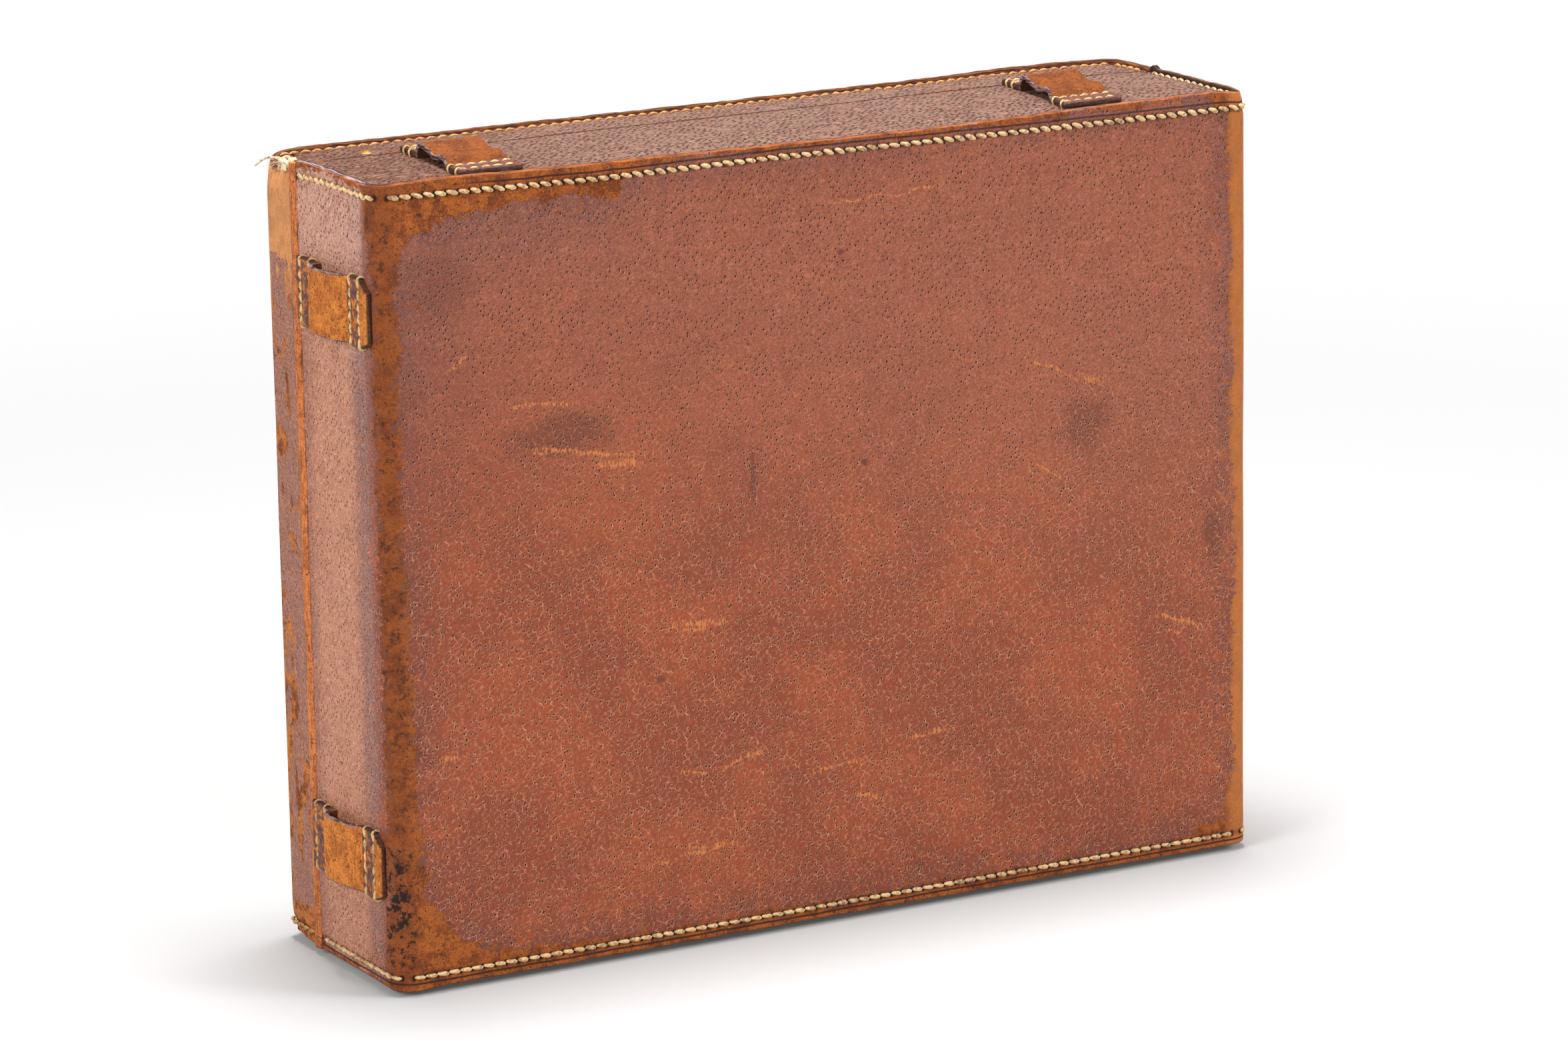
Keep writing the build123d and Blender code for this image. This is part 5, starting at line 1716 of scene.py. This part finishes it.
class CASE_OT_linings(Operator):
    """Line both halves with cloth and set the dividers"""

    bl_idname = "case.linings"
    bl_label = "Linings and dividers"

    def execute(self, context):
        cloth = cloth_look()
        low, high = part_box("base_lining")
        setback = X_LEFT + 12 * MM
        full = high.y - low.y
        short = Y_BASE - low.y

        def base_lip(x):
            """Full height along three sides, lower beside the fold."""
            return np.where(x < setback, short, full)

        base = lining_shell("base_cloth_tray", "base_lining", -1.0, base_lip)
        dress(base, cloth, "base", ["base_lining"])
        low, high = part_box("lid_lining")
        depth = high.y - low.y
        lid = lining_shell("lid_cloth_tray", "lid_lining", 1.0, lambda x: np.full(len(x), depth))
        dress(lid, cloth, "lid", ["lid_lining"])
        for node, axis in (("camera_divider", 2), ("holder_divider", 0)):
            piece = padded_board(f"{node}_covered", node, axis)
            dress(piece, cloth, "base", [node])
        return {"FINISHED"}


class CASE_OT_boards(Operator):
    """Finish the pasteboards that stiffen the leather"""

    bl_idname = "case.boards"
    bl_label = "Boards"

    def execute(self, context):
        board = board_look()
        for name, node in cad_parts.items():
            if name.endswith("_board") or name == "inner_frame":
                node.data.materials.clear()
                node.data.materials.append(board)
        return {"FINISHED"}


# Metal


# How far the stud sits from its CAD place
STUD_MOVE = (-4.4 * MM, 0.0, 0.45 * MM)


def softened(node, bevel, move):
    """A copy of a CAD node, moved a little, with joined corners and a narrow bevel on sharp edges."""
    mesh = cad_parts[node].data.copy()
    mesh.name = f"{node}_brass"
    work = bmesh.new()
    work.from_mesh(mesh)
    bmesh.ops.remove_doubles(work, verts=work.verts, dist=1e-6)
    bmesh.ops.translate(work, vec=move, verts=work.verts)
    bmesh.ops.dissolve_limit(
        work, angle_limit=math.radians(0.5), verts=work.verts, edges=work.edges
    )
    work.to_mesh(mesh)
    work.free()
    piece = linked(f"{node}_brass", mesh)
    edge = piece.modifiers.new("soft_edges", "BEVEL")
    edge.width = bevel
    edge.segments = 2
    edge.limit_method = "ANGLE"
    edge.angle_limit = math.radians(40)
    mesh.polygons.foreach_set("use_smooth", np.ones(len(mesh.polygons), bool))
    mesh.set_sharp_from_angle(angle=math.radians(35))
    return piece


class CASE_OT_brass(Operator):
    """Build the lock, the hasp, the stud and the catch spring"""

    bl_idname = "case.brass"
    bl_label = "Brass"

    def execute(self, context):
        brass = brass_look()
        nodes = {
            "base": ("lock_plate", "lock_case", "lock_plate_pins"),
            "catch": ("lock_catch", "lock_button"),
            "lid": ("hasp_plate", "hasp_rivets", "hasp_pin", "lid_stud", "lid_stud_burr"),
            "hasp": ("hasp", "hasp_staple"),
        }
        for body, names in nodes.items():
            for node in names:
                move = STUD_MOVE if "stud" in node else (0.0, 0.0, 0.0)
                dress(softened(node, 0.12 * MM, move), brass, body, [node])
        low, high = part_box("lock_spring")
        wire = 0.4 * MM
        radius = (high.x - low.x) / 2 - wire / 2
        turns = 7
        t = np.linspace(0, 1, turns * 14)
        angle = 2 * np.pi * turns * t
        path = np.stack([
            (low.x + high.x) / 2 + radius * np.cos(angle),
            (low.y + high.y) / 2 + radius * np.sin(angle),
            low.z + wire / 2 + (high.z - low.z - wire) * t,
        ], -1)[None]
        coil = tube(path, np.full((1, len(t)), wire / 2), np.array([[0.0, 0.0, 1.0]]))
        spring = shell("lock_spring_coil", coil)
        dress(spring, steel_look(), "base", ["lock_spring"])
        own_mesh(spring)
        return {"FINISHED"}


# Stage


# Softboxes: name, place and side in metres, and power
LAMPS = (
    ("left_softbox", (-1.8, -0.6, 1.0), 0.8, 26.0),
    ("right_softbox", (1.7, -1.5, 1.3), 0.8, 34.0),
    ("top_softbox", (0.05, 0.12, 2.2), 0.7, 66.0),
)

# The photo's camera, solved from the case's corners: its lens in mm, its place and two directions
LENS = 145.89
CAMERA_PLACE = (-0.969848, -1.757936, 0.599947)
CAMERA_AHEAD = (0.472462, 0.850702, -0.230404)
CAMERA_UP = (0.126349, 0.193345, 0.972961)

FLOOR_REACH = 9.0


def paper():
    """White paper: lit near the case, and plain white far off where the camera sees it."""
    paint = Paint("white_paper")
    diffuse = paint.node("ShaderNodeBsdfDiffuse", Color=tuple(colours().floor))
    glow = paint.node("ShaderNodeEmission", Color=(0.94, 1.0, 1.0), Strength=0.06)
    lit = paint.node("ShaderNodeAddShader", number_0=diffuse.outputs[0], number_1=glow.outputs[0])
    white = paint.node("ShaderNodeEmission", Color=(1.0, 1.0, 1.0), Strength=1.0)
    far = paint.fade(paint.vector("LENGTH", paint.object_place()), 420.0, 1100.0)
    both = paint.mixed_shader(far, lit, white)
    mixed = paint.mixed_shader(paint.seen_by("Is Camera Ray", "Is Glossy Ray"), diffuse, both)
    paint.node("ShaderNodeOutputMaterial", Surface=mixed.outputs[0])
    return paint.block


def pale_room():
    """A world that is plain white to the camera and lights the case more weakly."""
    paint = Paint("pale_room", "worlds")
    room = paint.node("ShaderNodeBackground", Color=(1, 1, 1), Strength=0.34)
    white = paint.node("ShaderNodeBackground", Color=(1, 1, 1), Strength=1.0)
    mixed = paint.mixed_shader(paint.seen_by("Is Camera Ray", "Is Transmission Ray"), room, white)
    paint.node("ShaderNodeOutputWorld", Surface=mixed.outputs[0])
    return paint.block


class CASE_OT_stage(Operator):
    """Set the floor, the light and the camera of the picture"""

    bl_idname = "case.stage"
    bl_label = "Stage"

    def execute(self, context):
        scene = bpy.context.scene
        floor_mesh = bpy.data.meshes.new("paper_floor")
        corners = [(-1, -1), (1, -1), (1, 1), (-1, 1)]
        points = [(x * FLOOR_REACH, y * FLOOR_REACH, 0) for x, y in corners]
        floor_mesh.from_pydata(points, [], [(0, 1, 2, 3)])
        floor = linked("paper_floor", floor_mesh)
        floor_mesh.materials.append(paper())
        scene.world = pale_room()
        centre = Vector((0, 0, HEIGHT / 2))
        for name, place, side, power in LAMPS:
            light = bpy.data.lights.new(name, "AREA")
            light.shape = "SQUARE"
            light.size = side
            light.energy = power
            lamp = linked(name, light)
            lamp.location = place
            lamp.rotation_euler = (centre - Vector(place)).to_track_quat("-Z", "Y").to_euler()
        camera = bpy.data.cameras.new("photo_camera")
        camera.lens = LENS
        camera.sensor_width = 36.0
        camera.clip_start = 0.05
        camera.clip_end = 60.0
        seat = linked("photo_camera", camera)
        forward = Vector(CAMERA_AHEAD).normalized()
        right = forward.cross(Vector(CAMERA_UP)).normalized()
        upward = right.cross(forward)
        turn = Matrix((right, upward, -forward)).transposed().to_4x4()
        turn.translation = Vector(CAMERA_PLACE)
        seat.matrix_world = turn
        scene.camera = seat
        scene.view_settings.view_transform = "Standard"
        return {"FINISHED"}


STEPS = (
    CASE_OT_linings, CASE_OT_wraps, CASE_OT_end_panels, CASE_OT_fold, CASE_OT_seams,
    CASE_OT_keepers, CASE_OT_boards, CASE_OT_brass, CASE_OT_stage,
)


class CASE_PT_panel(Panel):
    """Lists the case's sizes, its colours and the steps that build it"""

    bl_idname = "CASE_PT_panel"
    bl_label = "Camera Case"
    bl_space_type = "VIEW_3D"
    bl_region_type = "UI"
    bl_category = "Camera Case"

    def draw(self, context):
        for group in (context.scene.case_sizes, context.scene.case_colours):
            box = self.layout.box()
            for name in type(group).__annotations__:
                box.prop(group, name)
        for step in STEPS:
            self.layout.operator(step.bl_idname)


CLASSES = (CaseSizes, CaseColours, *STEPS, CASE_PT_panel)


def register():
    for kind in CLASSES:
        bpy.utils.register_class(kind)
    bpy.types.Scene.case_sizes = PointerProperty(type=CaseSizes)
    bpy.types.Scene.case_colours = PointerProperty(type=CaseColours)


def unregister():
    del bpy.types.Scene.case_colours
    del bpy.types.Scene.case_sizes
    for kind in reversed(CLASSES):
        bpy.utils.unregister_class(kind)


def main():
    """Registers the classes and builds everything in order."""
    register()
    for step in STEPS:
        group, name = step.bl_idname.split(".")
        getattr(getattr(bpy.ops, group), name)()


if __name__ == "__main__":
    main()
